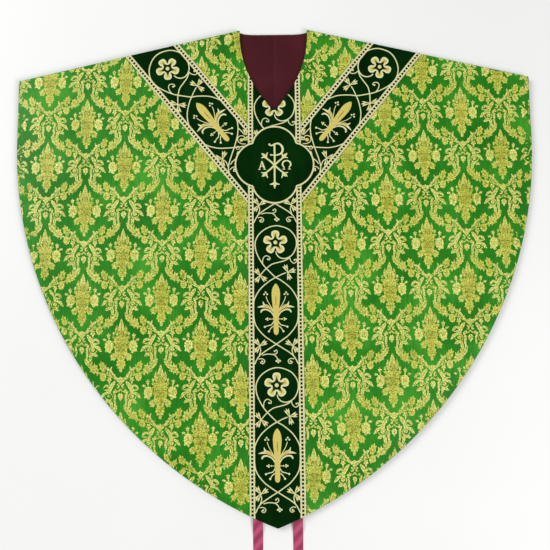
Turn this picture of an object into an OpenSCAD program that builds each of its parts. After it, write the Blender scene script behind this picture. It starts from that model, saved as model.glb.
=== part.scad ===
// A pointed Gothic chasuble laid flat, front uppermost, with its hem point towards -Y.
// The back lies face down on the table. The front lies on it, sewn to it along both shoulders,
// and its lower part folds up on the straight line between the two shoulder tips.
// Origin: under the middle of the garment's own box. X across, Y towards the neck, Z up.
// Left and right are the viewer's, looking down on the front.

/* [Garment] */
// Width across both sides
garment_w = 1400; // [1300:10:1500]
// Length from the neck points to the point of the hem
garment_l = 1330; // [1250:10:1400]
// Fall of each shoulder from the neck point to the tip
shoulder_fall = 141; // [100:1:180]
// Radius of each curved side down to the hem point
hem_r = 1100; // [1000:10:1200]
// Height of the fold line below the shoulder tips
fold_drop = 4; // [2:1:20]

/* [Neck] */
// Width between the neck points
neck_w = 186; // [160:2:220]
// Radius of each side of the front neckline
neck_r = 300; // [260:5:360]
// Straight run down from each neck point before the curve starts
neck_straight = 10; // [5:1:30]
// Depth of the back neckline
back_neck_d = 9; // [5:1:40]

/* [Orphreys] */
// Width of the centre band between the middles of its braids
band_w = 129; // [110:1:140]
// Width of each arm between the middles of its braids
arm_w = 122; // [110:1:130]
// Lean of each arm away from the centre line, in degrees
arm_lean = 39; // [35:0.5:42]
// Distance from the neck points down to where the arms' middles cross
arm_foot_d = 470; // [440:1:490]
// Width of the ladder braid
braid_w = 15; // [10:1:20]

/* [Medallion] */
// Distance from the neck points down to the medallion's centre
medallion_d = 383.5; // [375:0.5:390]
// Radius of each of the four lobes
lobe_r = 61.5; // [55:0.5:65]
// Distance of each lobe's centre from the medallion's
lobe_offset = 44; // [38:0.5:48]
// Width of the cord round the medallion
cord_w = 5; // [3:0.5:8]

/* [Embroidery] */
// Distance from the neck points down to the first crossing of the vines
vine_top_d = 490.5; // [480:0.5:500]
// Length of one pattern repeat: a rose and a lily
repeat_l = 374.5; // [360:0.5:390]
// Share of the repeat that the rose takes
rose_share = 0.54; // [0.5:0.01:0.56]
// Radius of a rose
rose_r = 32; // [24:1:40]
// Length of a lily
lily_l = 136; // [110:1:150]
// Width of a vine's stem
stem_w = 4; // [3:0.5:6]
// Distance along each arm from its foot to its rose
arm_rose_s = 459; // [445:1:465]
// Distance along each arm from its foot to the middle of its lily
arm_lily_s = 266; // [250:1:280]

/* [Cloth] */
// Thickness of the brocade
brocade_t = 1; // [0.6:0.1:1.6]
// Thickness of the velvet
velvet_t = 1.4; // [1:0.1:2]
// Thickness of the braid and the embroidery
braid_t = 1; // [0.6:0.1:1.5]
// Thickness of the interlining
canvas_t = 0.6; // [0.4:0.1:1]
// Thickness of the lining
lining_t = 0.6; // [0.3:0.1:1]
// Loft between the two linings, where the wearer goes
loft = 5; // [4.8:0.1:8]
// How far each lining stops short of the brocade's edge
lining_inset = 4; // [2:0.5:8]

/* [Ties] */
// Width of each tie ribbon
ribbon_w = 25; // [15:1:30]
// Thickness of each tie ribbon
ribbon_t = 0.4; // [0.3:0.1:0.6]
// Distance of each ribbon's middle from the centre line
ribbon_x = 51; // [40:1:60]

/* [Hidden] */
$fn = 180;
half_w = garment_w / 2;
top_y = garment_l / 2;
hem_y = -garment_l / 2;
tip_y = top_y - shoulder_fall;
side_y = hem_y + sqrt(pow(hem_r, 2) - pow(hem_r - half_w, 2));
neck_x = neck_w / 2;
slope = shoulder_fall / (half_w - neck_x);
fold_y = tip_y - fold_drop;
fold_gap = 1;
margin = 40;
arm_foot_y = top_y - arm_foot_d;
medallion_y = top_y - medallion_d;
vine_top_y = top_y - vine_top_d;
band_outer = band_w + braid_w;
arm_outer = arm_w + braid_w;
seam_tape_w = 12;
edge_clearance = 0.5;
back_neck_straight = 3;
cord_t = braid_t + 0.4;
patch_t = 0.4;

// Heights of the layers, from the table up
back_braid_z = 0;
back_velvet_z = back_braid_z + cord_t;
back_cloth_z = back_velvet_z + velvet_t;
back_canvas_z = back_cloth_z + brocade_t;
back_lining_z = back_canvas_z + canvas_t;
ribbon_z = back_lining_z + lining_t;
front_lining_z = ribbon_z + ribbon_t + loft;
front_canvas_z = front_lining_z + lining_t;
front_cloth_z = front_canvas_z + canvas_t;
front_velvet_z = front_cloth_z + brocade_t;
front_braid_z = front_velvet_z + velvet_t;

// Route of a tie ribbon's underside, as distance along Y and height
ribbon_route = [[100, ribbon_z], [-655, ribbon_z], [-664, ribbon_z - 1], [-678, 1.4], [-692, 0.3],
                [-705, 0], [-800, 0]];

green = [0.2, 0.5, 0.14];
velvet_green = [0.01, 0.15, 0.02];
gold = [0.85, 0.78, 0.42];
burgundy = [0.3, 0.08, 0.12];
canvas_grey = [0.75, 0.72, 0.65];
magenta = [0.7, 0.25, 0.4];

// ---- Outlines ----

module on_side(side) {
    if (side < 0) mirror([1, 0, 0]) children();
    else children();
}

module layer(z, t) {
    translate([0, 0, z]) linear_extrude(t) children();
}

function shoulder_y(x, inset) = top_y - slope * (x - neck_x) - inset * sqrt(1 + slope * slope);

// Right half of the garment, drawn in by an inset all round
module half_outline(inset = 0) {
    outer_x = half_w - inset;
    polygon([[0, side_y], [outer_x, side_y], [outer_x, shoulder_y(outer_x, inset)],
             [0, shoulder_y(0, inset)]]);
    intersection() {
        translate([half_w - hem_r, side_y]) circle(hem_r - inset);
        translate([0, hem_y - margin]) square([half_w, side_y - hem_y + margin]);
    }
}

// Everything in the right half below a line drawn in from the shoulder
module below_shoulder(inset) {
    polygon([[0, hem_y - margin], [half_w, hem_y - margin], [half_w, shoulder_y(half_w, inset)],
             [0, shoulder_y(0, inset)]]);
}

// Lining and canvas stop short of the shoulder tape
module clear_of_tape() {
    below_shoulder(seam_tape_w + edge_clearance);
}

module back_neckline(inset = 0) {
    hw = neck_x + inset;
    bottom_y = top_y - inset - back_neck_d;
    rise = back_neck_d - back_neck_straight;
    polygon(concat([for (i = [-12:12]) let (u = i / 12) [hw * u, bottom_y + rise * pow(abs(u), 6)]],
                   [[hw, top_y + margin], [-hw, top_y + margin]]));
}

module front_neckline(inset = 0) {
    hw = neck_x + inset;
    arc_y = top_y - neck_straight;
    intersection() {
        translate([neck_x - neck_r, arc_y]) circle(neck_r + inset);
        translate([neck_r - neck_x, arc_y]) circle(neck_r + inset);
        translate([-hw, hem_y]) square([2 * hw, arc_y - hem_y]);
    }
    translate([-hw, arc_y]) square([2 * hw, neck_straight + margin]);
}

module back_half(inset = 0) {
    difference() {
        half_outline(inset);
        back_neckline(inset);
    }
}

module front_half(inset = 0) {
    difference() {
        half_outline(inset);
        front_neckline(inset);
    }
}

module front_outline() {
    on_side(-1) front_half();
    front_half();
}

module back_outline() {
    on_side(-1) back_half();
    back_half();
}

// Keeps what lies below or above the fold line
module below_fold() {
    intersection() {
        children();
        translate([-half_w - margin, hem_y - margin])
            square([garment_w + 2 * margin, fold_y - fold_gap / 2 - hem_y + margin]);
    }
}

module above_fold() {
    intersection() {
        children();
        translate([-half_w - margin, fold_y + fold_gap / 2])
            square([garment_w + 2 * margin, shoulder_fall + 2 * margin]);
    }
}

// ---- Orphrey shapes ----

module quatrefoil(r = lobe_r) {
    translate([0, medallion_y]) for (a = [0:90:270]) rotate(a) translate([lobe_offset, 0]) circle(r);
}

module column_strip(w, x = 0) {
    translate([x - w / 2, hem_y - margin]) square([w, medallion_y - hem_y + margin]);
}

module stem_strip(w, x = 0) {
    translate([x - w / 2, medallion_y]) square([w, top_y - medallion_y + margin]);
}

module centre_strip(w) {
    translate([-w / 2, hem_y - margin]) square([w, garment_l + 2 * margin]);
}

module arm_strip(w, x = 0) {
    translate([0, arm_foot_y]) rotate(-arm_lean) translate([x - w / 2, 0]) square([w, half_w]);
}

module arm_shape() {
    difference() {
        arm_strip(arm_outer);
        centre_strip(band_outer);
        quatrefoil();
    }
}

module arm_braids() {
    difference() {
        union() {
            arm_strip(braid_w, -arm_w / 2);
            arm_strip(braid_w, arm_w / 2);
        }
        centre_strip(band_outer);
        quatrefoil(lobe_r + cord_w / 2);
    }
}

module column_braid() {
    difference() {
        column_strip(braid_w, band_w / 2);
        quatrefoil(lobe_r + cord_w / 2);
    }
}

module stem_braid() {
    difference() {
        stem_strip(braid_w, band_w / 2);
        quatrefoil(lobe_r + cord_w / 2);
    }
}

module column_shape() {
    difference() {
        column_strip(band_outer);
        quatrefoil();
    }
}

module stem_shape() {
    difference() {
        stem_strip(band_outer);
        quatrefoil();
    }
}

module medallion_edge() {
    difference() {
        quatrefoil(lobe_r + cord_w / 2);
        quatrefoil(lobe_r - cord_w / 2);
    }
}

// Canvas under the whole Y, drawn in from the braids' outer edges
module canvas_shape(inset = 6) {
    centre_strip(band_outer - 2 * inset);
    quatrefoil(lobe_r);
    for (side = [-1, 1]) on_side(side) arm_strip(arm_outer - 2 * inset);
}

// ---- Embroidered shapes ----

// Pointed oval, the overlap of two circles
module oval(l, w) {
    r = (l * l + w * w) / (4 * w);
    intersection() {
        translate([r - w / 2, 0]) circle(r);
        translate([w / 2 - r, 0]) circle(r);
    }
}

module rose() {
    for (k = [0:4]) rotate(270 + 72 * k) translate([rose_r * 0.56, 0]) circle(rose_r * 0.44);
    circle(rose_r * 0.4);
}

// A lily with its point up, centred on its own length
module lily() {
    translate([0, lily_l * 0.16]) oval(lily_l * 0.68, lily_l * 0.18);
    for (side = [-1, 1]) on_side(side) {
        translate([lily_l * 0.17, lily_l * 0.13]) rotate(-28) oval(lily_l * 0.52, lily_l * 0.12);
        translate([lily_l * 0.12, -lily_l * 0.3]) rotate(32) oval(lily_l * 0.34, lily_l * 0.06);
    }
    translate([-lily_l * 0.17, -lily_l * 0.15]) square([lily_l * 0.34, lily_l * 0.06]);
    translate([0, -lily_l * 0.33]) oval(lily_l * 0.34, lily_l * 0.1);
}

// Height of crossing k, counted down the column: even ones open a rose's ring, odd ones a lily's
function crossing_y(k) = vine_top_y - floor(k / 2) * repeat_l - (k % 2) * repeat_l * rose_share;

// The x of a vine at share u of the way from one crossing to the next
function swing(u) = (band_w / 2 - braid_w / 2 - stem_w / 2) * pow(sin(180 * u), 0.7);

module vine(side) {
    steps = 16;
    runs = 4;
    path = [for (k = [0:runs - 1], i = [0:steps - 1]) let (u = i / steps)
                [side * (k % 2 == 0 ? 1 : -1) * swing(u),
                 crossing_y(k) + u * (crossing_y(k + 1) - crossing_y(k))]];
    polygon(concat([for (p = path) [p[0] - stem_w / 2, p[1]]],
                   [for (i = [len(path) - 1:-1:0]) [path[i][0] + stem_w / 2, path[i][1]]]));
}

module rose_places() {
    for (k = [0, 2]) translate([0, (crossing_y(k) + crossing_y(k + 1)) / 2]) children();
}

module lily_places() {
    for (k = [1, 3]) translate([0, (crossing_y(k) + crossing_y(k + 1)) / 2]) children();
}

module on_arm(side, s) {
    on_side(side) translate([0, arm_foot_y]) rotate(-arm_lean) translate([0, s]) children();
}

module vines() {
    difference() {
        union() {
            vine(1);
            vine(-1);
        }
        rose_places() circle(rose_r + 1);
        lily_places() square([lily_l * 0.6, lily_l * 1.02], center = true);
        quatrefoil(lobe_r + cord_w);
    }
}

// Chi and rho with alpha and omega, drawn from bars and rings
module christogram_shape() {
    bar = 5;
    rho_h = 121;
    ring_r = 15;
    translate([-bar / 2, -rho_h * 0.53]) square([bar, rho_h]);
    translate([ring_r * 0.8, rho_h * 0.47 - ring_r]) difference() {
        circle(ring_r);
        circle(ring_r - bar);
    }
    for (a = [-49, 49]) rotate(a) square([bar, 96], center = true);
    translate([-34, -2]) {
        for (a = [-18, 18]) rotate(a) translate([-1.5, -13]) square([3, 26]);
        translate([-7, -6]) square([14, 3]);
    }
    translate([33, 0]) difference() {
        circle(13);
        circle(10);
        translate([-6, -14]) square([12, 8]);
    }
}

module cross_shape() {
    square([9, 110], center = true);
    translate([0, 14]) square([78, 9], center = true);
}

// ---- Sub-parts: back ----

module cloth_back(side) { color(green) layer(back_cloth_z, brocade_t) on_side(side) back_half(); }
module back_cloth_left() { cloth_back(-1); }
module back_cloth_right() { cloth_back(1); }

module lining_back(side) {
    color(burgundy) layer(back_lining_z, lining_t) on_side(side) intersection() {
        back_half(lining_inset);
        clear_of_tape();
    }
}
module back_lining_left() { lining_back(-1); }
module back_lining_right() { lining_back(1); }

module back_interlining() {
    color(canvas_grey) layer(back_canvas_z, canvas_t) intersection() {
        union() {
            on_side(-1) back_half(seam_tape_w + edge_clearance);
            back_half(seam_tape_w + edge_clearance);
        }
        canvas_shape();
    }
}

module back_velvet() {
    color(velvet_green) layer(back_velvet_z, velvet_t) intersection() {
        back_outline();
        children();
    }
}
module back_column_velvet() { back_velvet() column_shape(); }
module back_stem_velvet() { back_velvet() stem_shape(); }
module back_arm_velvet_left() { back_velvet() on_side(-1) arm_shape(); }
module back_arm_velvet_right() { back_velvet() arm_shape(); }
module back_medallion_velvet() { back_velvet() quatrefoil(); }

// The back lies face down, so its trims hang below the velvet
module back_trim(t = braid_t) {
    color(gold) layer(back_velvet_z - t, t) intersection() {
        back_outline();
        children();
    }
}
module back_medallion_cord() { back_trim(cord_t) medallion_edge(); }
module back_cross() { back_trim() translate([0, medallion_y]) cross_shape(); }
module back_column_braid_left() { back_trim(cord_t) on_side(-1) column_braid(); }
module back_column_braid_right() { back_trim(cord_t) column_braid(); }
module back_stem_braid() { back_trim(cord_t) for (side = [-1, 1]) on_side(side) stem_braid(); }
module back_arm_braid_left() { back_trim(cord_t) on_side(-1) arm_braids(); }
module back_arm_braid_right() { back_trim(cord_t) arm_braids(); }
module back_roses() {
    back_trim() {
        rose_places() rose();
        for (side = [-1, 1]) on_arm(side, arm_rose_s) rose();
    }
}
module back_lilies() {
    back_trim() {
        lily_places() lily();
        for (side = [-1, 1]) on_arm(side, arm_lily_s) lily();
    }
}
module back_vines() { back_trim() vines(); }

// ---- Sub-parts: ties and shoulder seams ----

module tie_ribbon(side) {
    color(magenta) translate([side * ribbon_x - ribbon_w / 2, 0, 0]) rotate([90, 0, 90])
        linear_extrude(ribbon_w)
            polygon(concat(ribbon_route,
                [for (i = [len(ribbon_route) - 1:-1:0]) ribbon_route[i] + [0, ribbon_t]]));
}
module tie_ribbon_left() { tie_ribbon(-1); }
module tie_ribbon_right() { tie_ribbon(1); }

// A square of ribbon sewn over each ribbon's top end
module ribbon_patches() {
    color(magenta) for (side = [-1, 1])
        translate([side * ribbon_x - ribbon_w / 2, ribbon_route[0][0], ribbon_z])
            cube([ribbon_w, ribbon_w, patch_t]);
}

// Stay tape in the shoulder seam, holding the front's brocade to the back's
module shoulder_tape(side) {
    color(canvas_grey) layer(back_canvas_z, front_cloth_z - back_canvas_z) above_fold()
        on_side(side) difference() {
            front_half(edge_clearance);
            below_shoulder(seam_tape_w);
        }
}
module shoulder_tape_left() { shoulder_tape(-1); }
module shoulder_tape_right() { shoulder_tape(1); }

// ---- Sub-parts: front above the fold line, fast to the shoulders ----

module cloth_shoulder(side) {
    color(green) layer(front_cloth_z, brocade_t) above_fold() on_side(side) front_half();
}
module shoulder_cloth_left() { cloth_shoulder(-1); }
module shoulder_cloth_right() { cloth_shoulder(1); }

module inside_tape(side) {
    on_side(side) intersection() {
        front_half(lining_inset);
        clear_of_tape();
    }
}

module lining_shoulder(side) {
    color(burgundy) layer(front_lining_z, lining_t) above_fold() inside_tape(side);
}
module shoulder_lining_left() { lining_shoulder(-1); }
module shoulder_lining_right() { lining_shoulder(1); }

module shoulder_interlining() {
    color(canvas_grey) layer(front_canvas_z, canvas_t) above_fold() intersection() {
        for (side = [-1, 1]) inside_tape(side);
        for (side = [-1, 1]) on_side(side) arm_strip(arm_outer - 12);
    }
}

module velvet_shoulder(side) {
    color(velvet_green) layer(front_velvet_z, velvet_t) above_fold() intersection() {
        front_outline();
        on_side(side) arm_shape();
    }
}
module shoulder_velvet_left() { velvet_shoulder(-1); }
module shoulder_velvet_right() { velvet_shoulder(1); }

module braid_shoulder(side) {
    color(gold) layer(front_braid_z, braid_t) above_fold() intersection() {
        front_outline();
        on_side(side) arm_braids();
    }
}
module shoulder_braid_left() { braid_shoulder(-1); }
module shoulder_braid_right() { braid_shoulder(1); }

module arm_roses() {
    color(gold) layer(front_braid_z, braid_t)
        for (side = [-1, 1]) on_arm(side, arm_rose_s) rose();
}

// ---- Sub-parts: front below the fold line ----

module cloth_front(side) {
    color(green) layer(front_cloth_z, brocade_t) below_fold() on_side(side) front_half();
}
module front_cloth_left() { cloth_front(-1); }
module front_cloth_right() { cloth_front(1); }

module lining_front(side) {
    color(burgundy) layer(front_lining_z, lining_t) below_fold() on_side(side)
        front_half(lining_inset);
}
module front_lining_left() { lining_front(-1); }
module front_lining_right() { lining_front(1); }

module front_interlining() {
    color(canvas_grey) layer(front_canvas_z, canvas_t) below_fold() intersection() {
        union() {
            on_side(-1) front_half(lining_inset);
            front_half(lining_inset);
        }
        canvas_shape();
    }
}

module front_velvet() {
    color(velvet_green) layer(front_velvet_z, velvet_t) below_fold() intersection() {
        front_outline();
        children();
    }
}
module front_column_velvet() { front_velvet() column_shape(); }
module front_stem_velvet() { front_velvet() stem_shape(); }
module front_arm_velvet_left() { front_velvet() on_side(-1) arm_shape(); }
module front_arm_velvet_right() { front_velvet() arm_shape(); }
module front_medallion_velvet() { front_velvet() quatrefoil(); }

module front_trim(t = braid_t) {
    color(gold) layer(front_braid_z, t) below_fold() intersection() {
        front_outline();
        children();
    }
}
module front_medallion_cord() { front_trim(cord_t) medallion_edge(); }
module christogram() { front_trim() translate([0, medallion_y]) christogram_shape(); }
module front_column_braid_left() { front_trim() on_side(-1) column_braid(); }
module front_column_braid_right() { front_trim() column_braid(); }
module front_stem_braid() { front_trim() for (side = [-1, 1]) on_side(side) stem_braid(); }
module front_arm_braid_left() { front_trim() on_side(-1) arm_braids(); }
module front_arm_braid_right() { front_trim() arm_braids(); }
module front_roses() { front_trim() rose_places() rose(); }
module front_lilies() { front_trim() lily_places() lily(); }
module front_vines() { front_trim() vines(); }
module arm_lilies() { front_trim() for (side = [-1, 1]) on_arm(side, arm_lily_s) lily(); }

back_cloth_left();
back_cloth_right();
back_lining_left();
back_lining_right();
back_interlining();
back_column_velvet();
back_stem_velvet();
back_arm_velvet_left();
back_arm_velvet_right();
back_medallion_velvet();
back_medallion_cord();
back_cross();
back_column_braid_left();
back_column_braid_right();
back_stem_braid();
back_arm_braid_left();
back_arm_braid_right();
back_roses();
back_lilies();
back_vines();
tie_ribbon_left();
tie_ribbon_right();
ribbon_patches();
shoulder_tape_left();
shoulder_tape_right();
shoulder_cloth_left();
shoulder_cloth_right();
shoulder_lining_left();
shoulder_lining_right();
shoulder_interlining();
shoulder_velvet_left();
shoulder_velvet_right();
shoulder_braid_left();
shoulder_braid_right();
arm_roses();
front_cloth_left();
front_cloth_right();
front_lining_left();
front_lining_right();
front_interlining();
front_column_velvet();
front_stem_velvet();
front_arm_velvet_left();
front_arm_velvet_right();
front_medallion_velvet();
front_medallion_cord();
christogram();
front_column_braid_left();
front_column_braid_right();
front_stem_braid();
front_arm_braid_left();
front_arm_braid_right();
front_roses();
front_lilies();
front_vines();
arm_lilies();
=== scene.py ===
"""A pointed Gothic chasuble laid flat, front uppermost: brocade with a velvet Y of orphreys.

Shapes are drawn in millimetres, and each piece becomes metres in its last step.
"""

import math

import bmesh
import bpy
import numpy as np
from mathutils import Matrix, Quaternion, Vector


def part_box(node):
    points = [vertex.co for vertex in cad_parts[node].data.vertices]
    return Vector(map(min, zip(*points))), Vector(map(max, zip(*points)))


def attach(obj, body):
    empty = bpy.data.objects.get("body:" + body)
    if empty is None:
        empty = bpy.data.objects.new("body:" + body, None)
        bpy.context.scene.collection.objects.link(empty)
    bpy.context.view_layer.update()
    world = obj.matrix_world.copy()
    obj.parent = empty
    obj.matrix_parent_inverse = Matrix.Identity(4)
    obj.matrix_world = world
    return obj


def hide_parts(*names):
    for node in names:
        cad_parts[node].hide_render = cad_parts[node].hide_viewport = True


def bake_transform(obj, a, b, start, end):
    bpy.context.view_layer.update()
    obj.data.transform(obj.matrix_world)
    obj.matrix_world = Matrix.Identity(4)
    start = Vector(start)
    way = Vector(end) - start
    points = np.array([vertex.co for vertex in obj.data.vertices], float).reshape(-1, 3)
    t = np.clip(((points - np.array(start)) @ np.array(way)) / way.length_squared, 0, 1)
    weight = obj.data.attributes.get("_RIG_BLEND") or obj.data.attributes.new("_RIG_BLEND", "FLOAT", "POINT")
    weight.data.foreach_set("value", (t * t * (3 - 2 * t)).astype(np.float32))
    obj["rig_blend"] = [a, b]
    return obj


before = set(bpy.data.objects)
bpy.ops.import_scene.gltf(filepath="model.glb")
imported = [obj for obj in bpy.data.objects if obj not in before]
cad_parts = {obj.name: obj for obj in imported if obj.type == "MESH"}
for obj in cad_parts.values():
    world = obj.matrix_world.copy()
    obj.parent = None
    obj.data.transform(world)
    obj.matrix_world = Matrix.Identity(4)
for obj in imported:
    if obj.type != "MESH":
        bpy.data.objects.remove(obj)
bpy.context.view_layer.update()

# ---- Sizes, in millimetres ----

# Outline: X to the viewer's right, Y towards the neck, from the middle of the garment
HALF_W = 700
TOP_Y = 665
HEM_R = 1100
HEM_X = -400
SIDE_Y = 359.7

# Neck and shoulders
NECK_X = 93
NECK_R = 300
NECK_ARC_Y = 655
NECK_ARC_X = NECK_X - NECK_R
SLOPE = 141 / 607
BACK_NECK_Y = 656
BACK_NECK_RISE = 6

# Velvet Y: half widths, and where the middles of the braids run
BAND_HALF = 72
BAND_BRAID_X = 64.5
ARM_HALF = 68.5
ARM_BRAID_X = 61
ARM_LEAN = math.radians(39)
ARM_FOOT_Y = 195

# Medallion and braid
MEDALLION_Y = 281.5
LOBE_R = 61.5
LOBE_OFFSET = 44
BRAID_PITCH = 9.7
RAIL_OFFSET = 4.9
RAIL_W = 4.6
RUNG_W = 4.0

# Where the front bends as it lifts, and the height of its hinge
FOLD_TOP = 520
FOLD_END = 440
HINGE_Z = 15.4
CLOTH_CREASE = 0.4

# Damask repeat, and the first row on each half
FIGURE_FIRST_X = 93.5
FIGURE_PITCH_X = 104
FIGURE_REPEAT_Y = 240
LEFT_FIGURES_Y = 331
RIGHT_FIGURES_Y = 355

# Along the middle of a tie ribbon: Y and height
RIBBON_ROUTE = [
    (100, 5.0), (-655, 5.0), (-664, 4.0), (-678, 1.4), (-692, 0.3), (-705, 0), (-800, 0),
]


def top_of(node):
    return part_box(node)[1].z * 1000


def under(node):
    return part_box(node)[0].z * 1000


FRONT_CLOTH_Z = top_of("front_cloth_left")
FRONT_VELVET_Z = top_of("front_column_velvet")
BACK_CLOTH_Z = under("back_cloth_left")
BACK_VELVET_Z = under("back_column_velvet")


# ---- Camera ----

CAMERA_LENS = 39.2
CAMERA_TARGET = (-0.0017, -0.0165, 0)
CAMERA_HEIGHT = math.radians(83.8)
CAMERA_DISTANCE = 1.6
CAMERA_ROLL = -0.0096


def make_camera():
    """Looks down on the front from just past the hem."""
    data = bpy.data.cameras.new("camera")
    data.lens = CAMERA_LENS
    data.sensor_width = 36
    data.clip_start = 0.05
    data.clip_end = 20
    camera = bpy.data.objects.new("camera", data)
    bpy.context.scene.collection.objects.link(camera)
    target = Vector(CAMERA_TARGET)
    height = CAMERA_HEIGHT
    back = Vector((0, -math.cos(height), math.sin(height)))
    camera.location = target + back * CAMERA_DISTANCE
    camera.rotation_mode = "QUATERNION"
    level = (-back).to_track_quat("-Z", "Y")
    camera.rotation_quaternion = level @ Quaternion((0, 0, 1), CAMERA_ROLL)
    bpy.context.scene.camera = camera


# ---- Materials ----

def new_material(name, settings):
    material = bpy.data.materials.new(name)
    material.use_nodes = True
    shader = material.node_tree.nodes["Principled BSDF"]
    for socket, value in settings.items():
        shader.inputs[socket].default_value = value
    return material, material.node_tree, shader


def add(tree, kind, settings=None, **options):
    node = tree.nodes.new(kind)
    for key, value in options.items():
        setattr(node, key, value)
    for socket, value in (settings or {}).items():
        node.inputs[socket].default_value = value
    return node


def object_place(tree):
    return add(tree, "ShaderNodeTexCoord").outputs["Object"]


def thread(tree, name):
    """Where a point lies on its stitched stroke: along, across or tone."""
    return add(tree, "ShaderNodeAttribute", attribute_name=name).outputs["Fac"]


def noise(tree, place, scale, detail=3.0, roughness=0.5):
    node = add(tree, "ShaderNodeTexNoise", {"Scale": scale, "Detail": detail, "Roughness": roughness})
    tree.links.new(place, node.inputs["Vector"])
    return node.outputs["Fac"]


def cells(tree, place, scale):
    """Distance from the lines between uneven cells."""
    node = add(tree, "ShaderNodeTexVoronoi", {"Scale": scale}, feature="DISTANCE_TO_EDGE")
    tree.links.new(place, node.inputs["Vector"])
    return node.outputs["Distance"]


def turned(tree, place, angle, stretch=(1, 1, 1)):
    node = add(tree, "ShaderNodeMapping", {"Rotation": (0, 0, angle), "Scale": stretch})
    tree.links.new(place, node.inputs["Vector"])
    return node.outputs["Vector"]


def ribs(tree, place, pitch_mm, direction="X"):
    """Even ridges, one every pitch."""
    scale = 2 * math.pi / (20 * pitch_mm / 1000)
    node = add(tree, "ShaderNodeTexWave", {"Scale": scale}, bands_direction=direction)
    tree.links.new(place, node.inputs["Vector"])
    return node.outputs["Fac"]


def sum_of(tree, a, b, operation="ADD"):
    node = add(tree, "ShaderNodeMath", operation=operation)
    for socket, value in ((node.inputs[0], a), (node.inputs[1], b)):
        if isinstance(value, (int, float)):
            socket.default_value = value
        else:
            tree.links.new(value, socket)
    return node.outputs[0]


def size_of(tree, value):
    node = add(tree, "ShaderNodeMath", operation="ABSOLUTE")
    tree.links.new(value, node.inputs[0])
    return node.outputs[0]


def ramp(tree, share, stops):
    """Colours at shares of the way, in linear light."""
    node = add(tree, "ShaderNodeValToRGB")
    elements = node.color_ramp.elements
    while len(elements) < len(stops):
        elements.new(0.5)
    for element, (position, colour) in zip(elements, stops):
        element.position = position
        element.color = (*colour, 1)
    tree.links.new(share, node.inputs["Fac"])
    return node.outputs["Color"]


def mixed(tree, share, a, b, blend_type="MIX"):
    node = add(tree, "ShaderNodeMix", data_type="RGBA", blend_type=blend_type)
    if isinstance(share, float):
        node.inputs[0].default_value = share
    else:
        tree.links.new(share, node.inputs[0])
    for socket, value in ((node.inputs[6], a), (node.inputs[7], b)):
        if isinstance(value, tuple):
            socket.default_value = (*value, 1)
        else:
            tree.links.new(value, socket)
    return node.outputs[2]


def bump(tree, shader, height, strength, distance_mm):
    node = add(tree, "ShaderNodeBump", {"Strength": strength, "Distance": distance_mm / 1000})
    tree.links.new(height, node.inputs["Height"])
    tree.links.new(node.outputs["Normal"], shader.inputs["Normal"])


def brocade_ground():
    """Green satin ground with its warp running down the garment."""
    material, tree, shader = new_material(
        "green satin ground",
        {"Roughness": 0.45, "Specular IOR Level": 0.14, "Sheen Weight": 0.02, "Sheen Roughness": 0.4},
    )
    place = object_place(tree)
    cloudy = noise(tree, place, 7, 2)
    streaky = noise(tree, turned(tree, place, 0, (160, 18, 1)), 1.5, 3)
    share = sum_of(tree, sum_of(tree, cloudy, 0.7, "MULTIPLY"), sum_of(tree, streaky, 0.3, "MULTIPLY"))
    colour = ramp(tree, share, [
        (0.32, (0.010, 0.150, 0.004)),
        (0.50, (0.020, 0.225, 0.008)),
        (0.66, (0.062, 0.360, 0.022)),
    ])
    warp = ribs(tree, place, 0.5, "X")
    weft = ribs(tree, place, 1.1, "Y")
    weave = sum_of(tree, warp, weft, "MULTIPLY")
    shaded = mixed(tree, weave, (0.80, 0.80, 0.80), (1.12, 1.12, 1.12))
    tree.links.new(mixed(tree, 1.0, colour, shaded, "MULTIPLY"), shader.inputs["Base Color"])
    bump(tree, shader, weave, 0.35, 0.12)
    return material


def brocade_figure():
    """Woven gold of the damask figures, lighter at the leaves' edges than along their veins, with soft
    patches of painted sheen.
    """
    material, tree, shader = new_material(
        "gold brocade figure",
        {"Roughness": 0.42, "Specular IOR Level": 0.3},
    )
    place = object_place(tree)
    tone = thread(tree, "tone")
    # Large soft patches where the gold reads paler or more olive: painted sheen variation.
    sheen_patches = noise(tree, place, 16, 3)
    flecks = noise(tree, place, 260, 2, 0.7)
    share = sum_of(tree, tone, sum_of(tree, sheen_patches, 0.55, "MULTIPLY"))
    share = sum_of(tree, share, sum_of(tree, flecks, 0.35, "MULTIPLY"))
    colour = ramp(tree, sum_of(tree, share, 0.50, "SUBTRACT"), [
        (0.0, (0.860, 0.830, 0.280)),
        (0.40, (0.660, 0.640, 0.100)),
        (0.75, (0.420, 0.450, 0.040)),
        (1.0, (0.030, 0.130, 0.010)),
    ])
    off_vein = size_of(tree, thread(tree, "across"))
    veined = mixed(tree, off_vein, (0.76, 0.72, 0.52), (1.12, 1.12, 1.18))
    colour = mixed(tree, 1.0, colour, veined, "MULTIPLY")
    traced = ramp(tree, cells(tree, place, 170), [(0.03, (0.30, 0.46, 0.16)), (0.13, (1, 1, 1))])
    colour = mixed(tree, 1.0, colour, traced, "MULTIPLY")
    twill = ribs(tree, turned(tree, place, 0.8), 0.9)
    tree.links.new(colour, shader.inputs["Base Color"])
    bump(tree, shader, twill, 0.4, 0.15)
    return material


def velvet():
    """Bottle-green cotton velvet with a short upright pile."""
    material, tree, shader = new_material(
        "bottle green velvet",
        {"Roughness": 0.9, "Specular IOR Level": 0.03, "Sheen Weight": 0.02,
         "Sheen Roughness": 0.35, "Sheen Tint": (0.10, 0.45, 0.12, 1)},
    )
    place = object_place(tree)
    brushed = noise(tree, turned(tree, place, 0, (1, 0.35, 1)), 28, 3)
    colour = ramp(tree, brushed, [
        (0.30, (0.0006, 0.0120, 0.0009)),
        (0.55, (0.0010, 0.0190, 0.0014)),
        (0.80, (0.0022, 0.0300, 0.0026)),
    ])
    tree.links.new(colour, shader.inputs["Base Color"])
    pile = noise(tree, place, 1500, 2)
    bump(tree, shader, pile, 0.5, 0.3)
    return material


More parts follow.
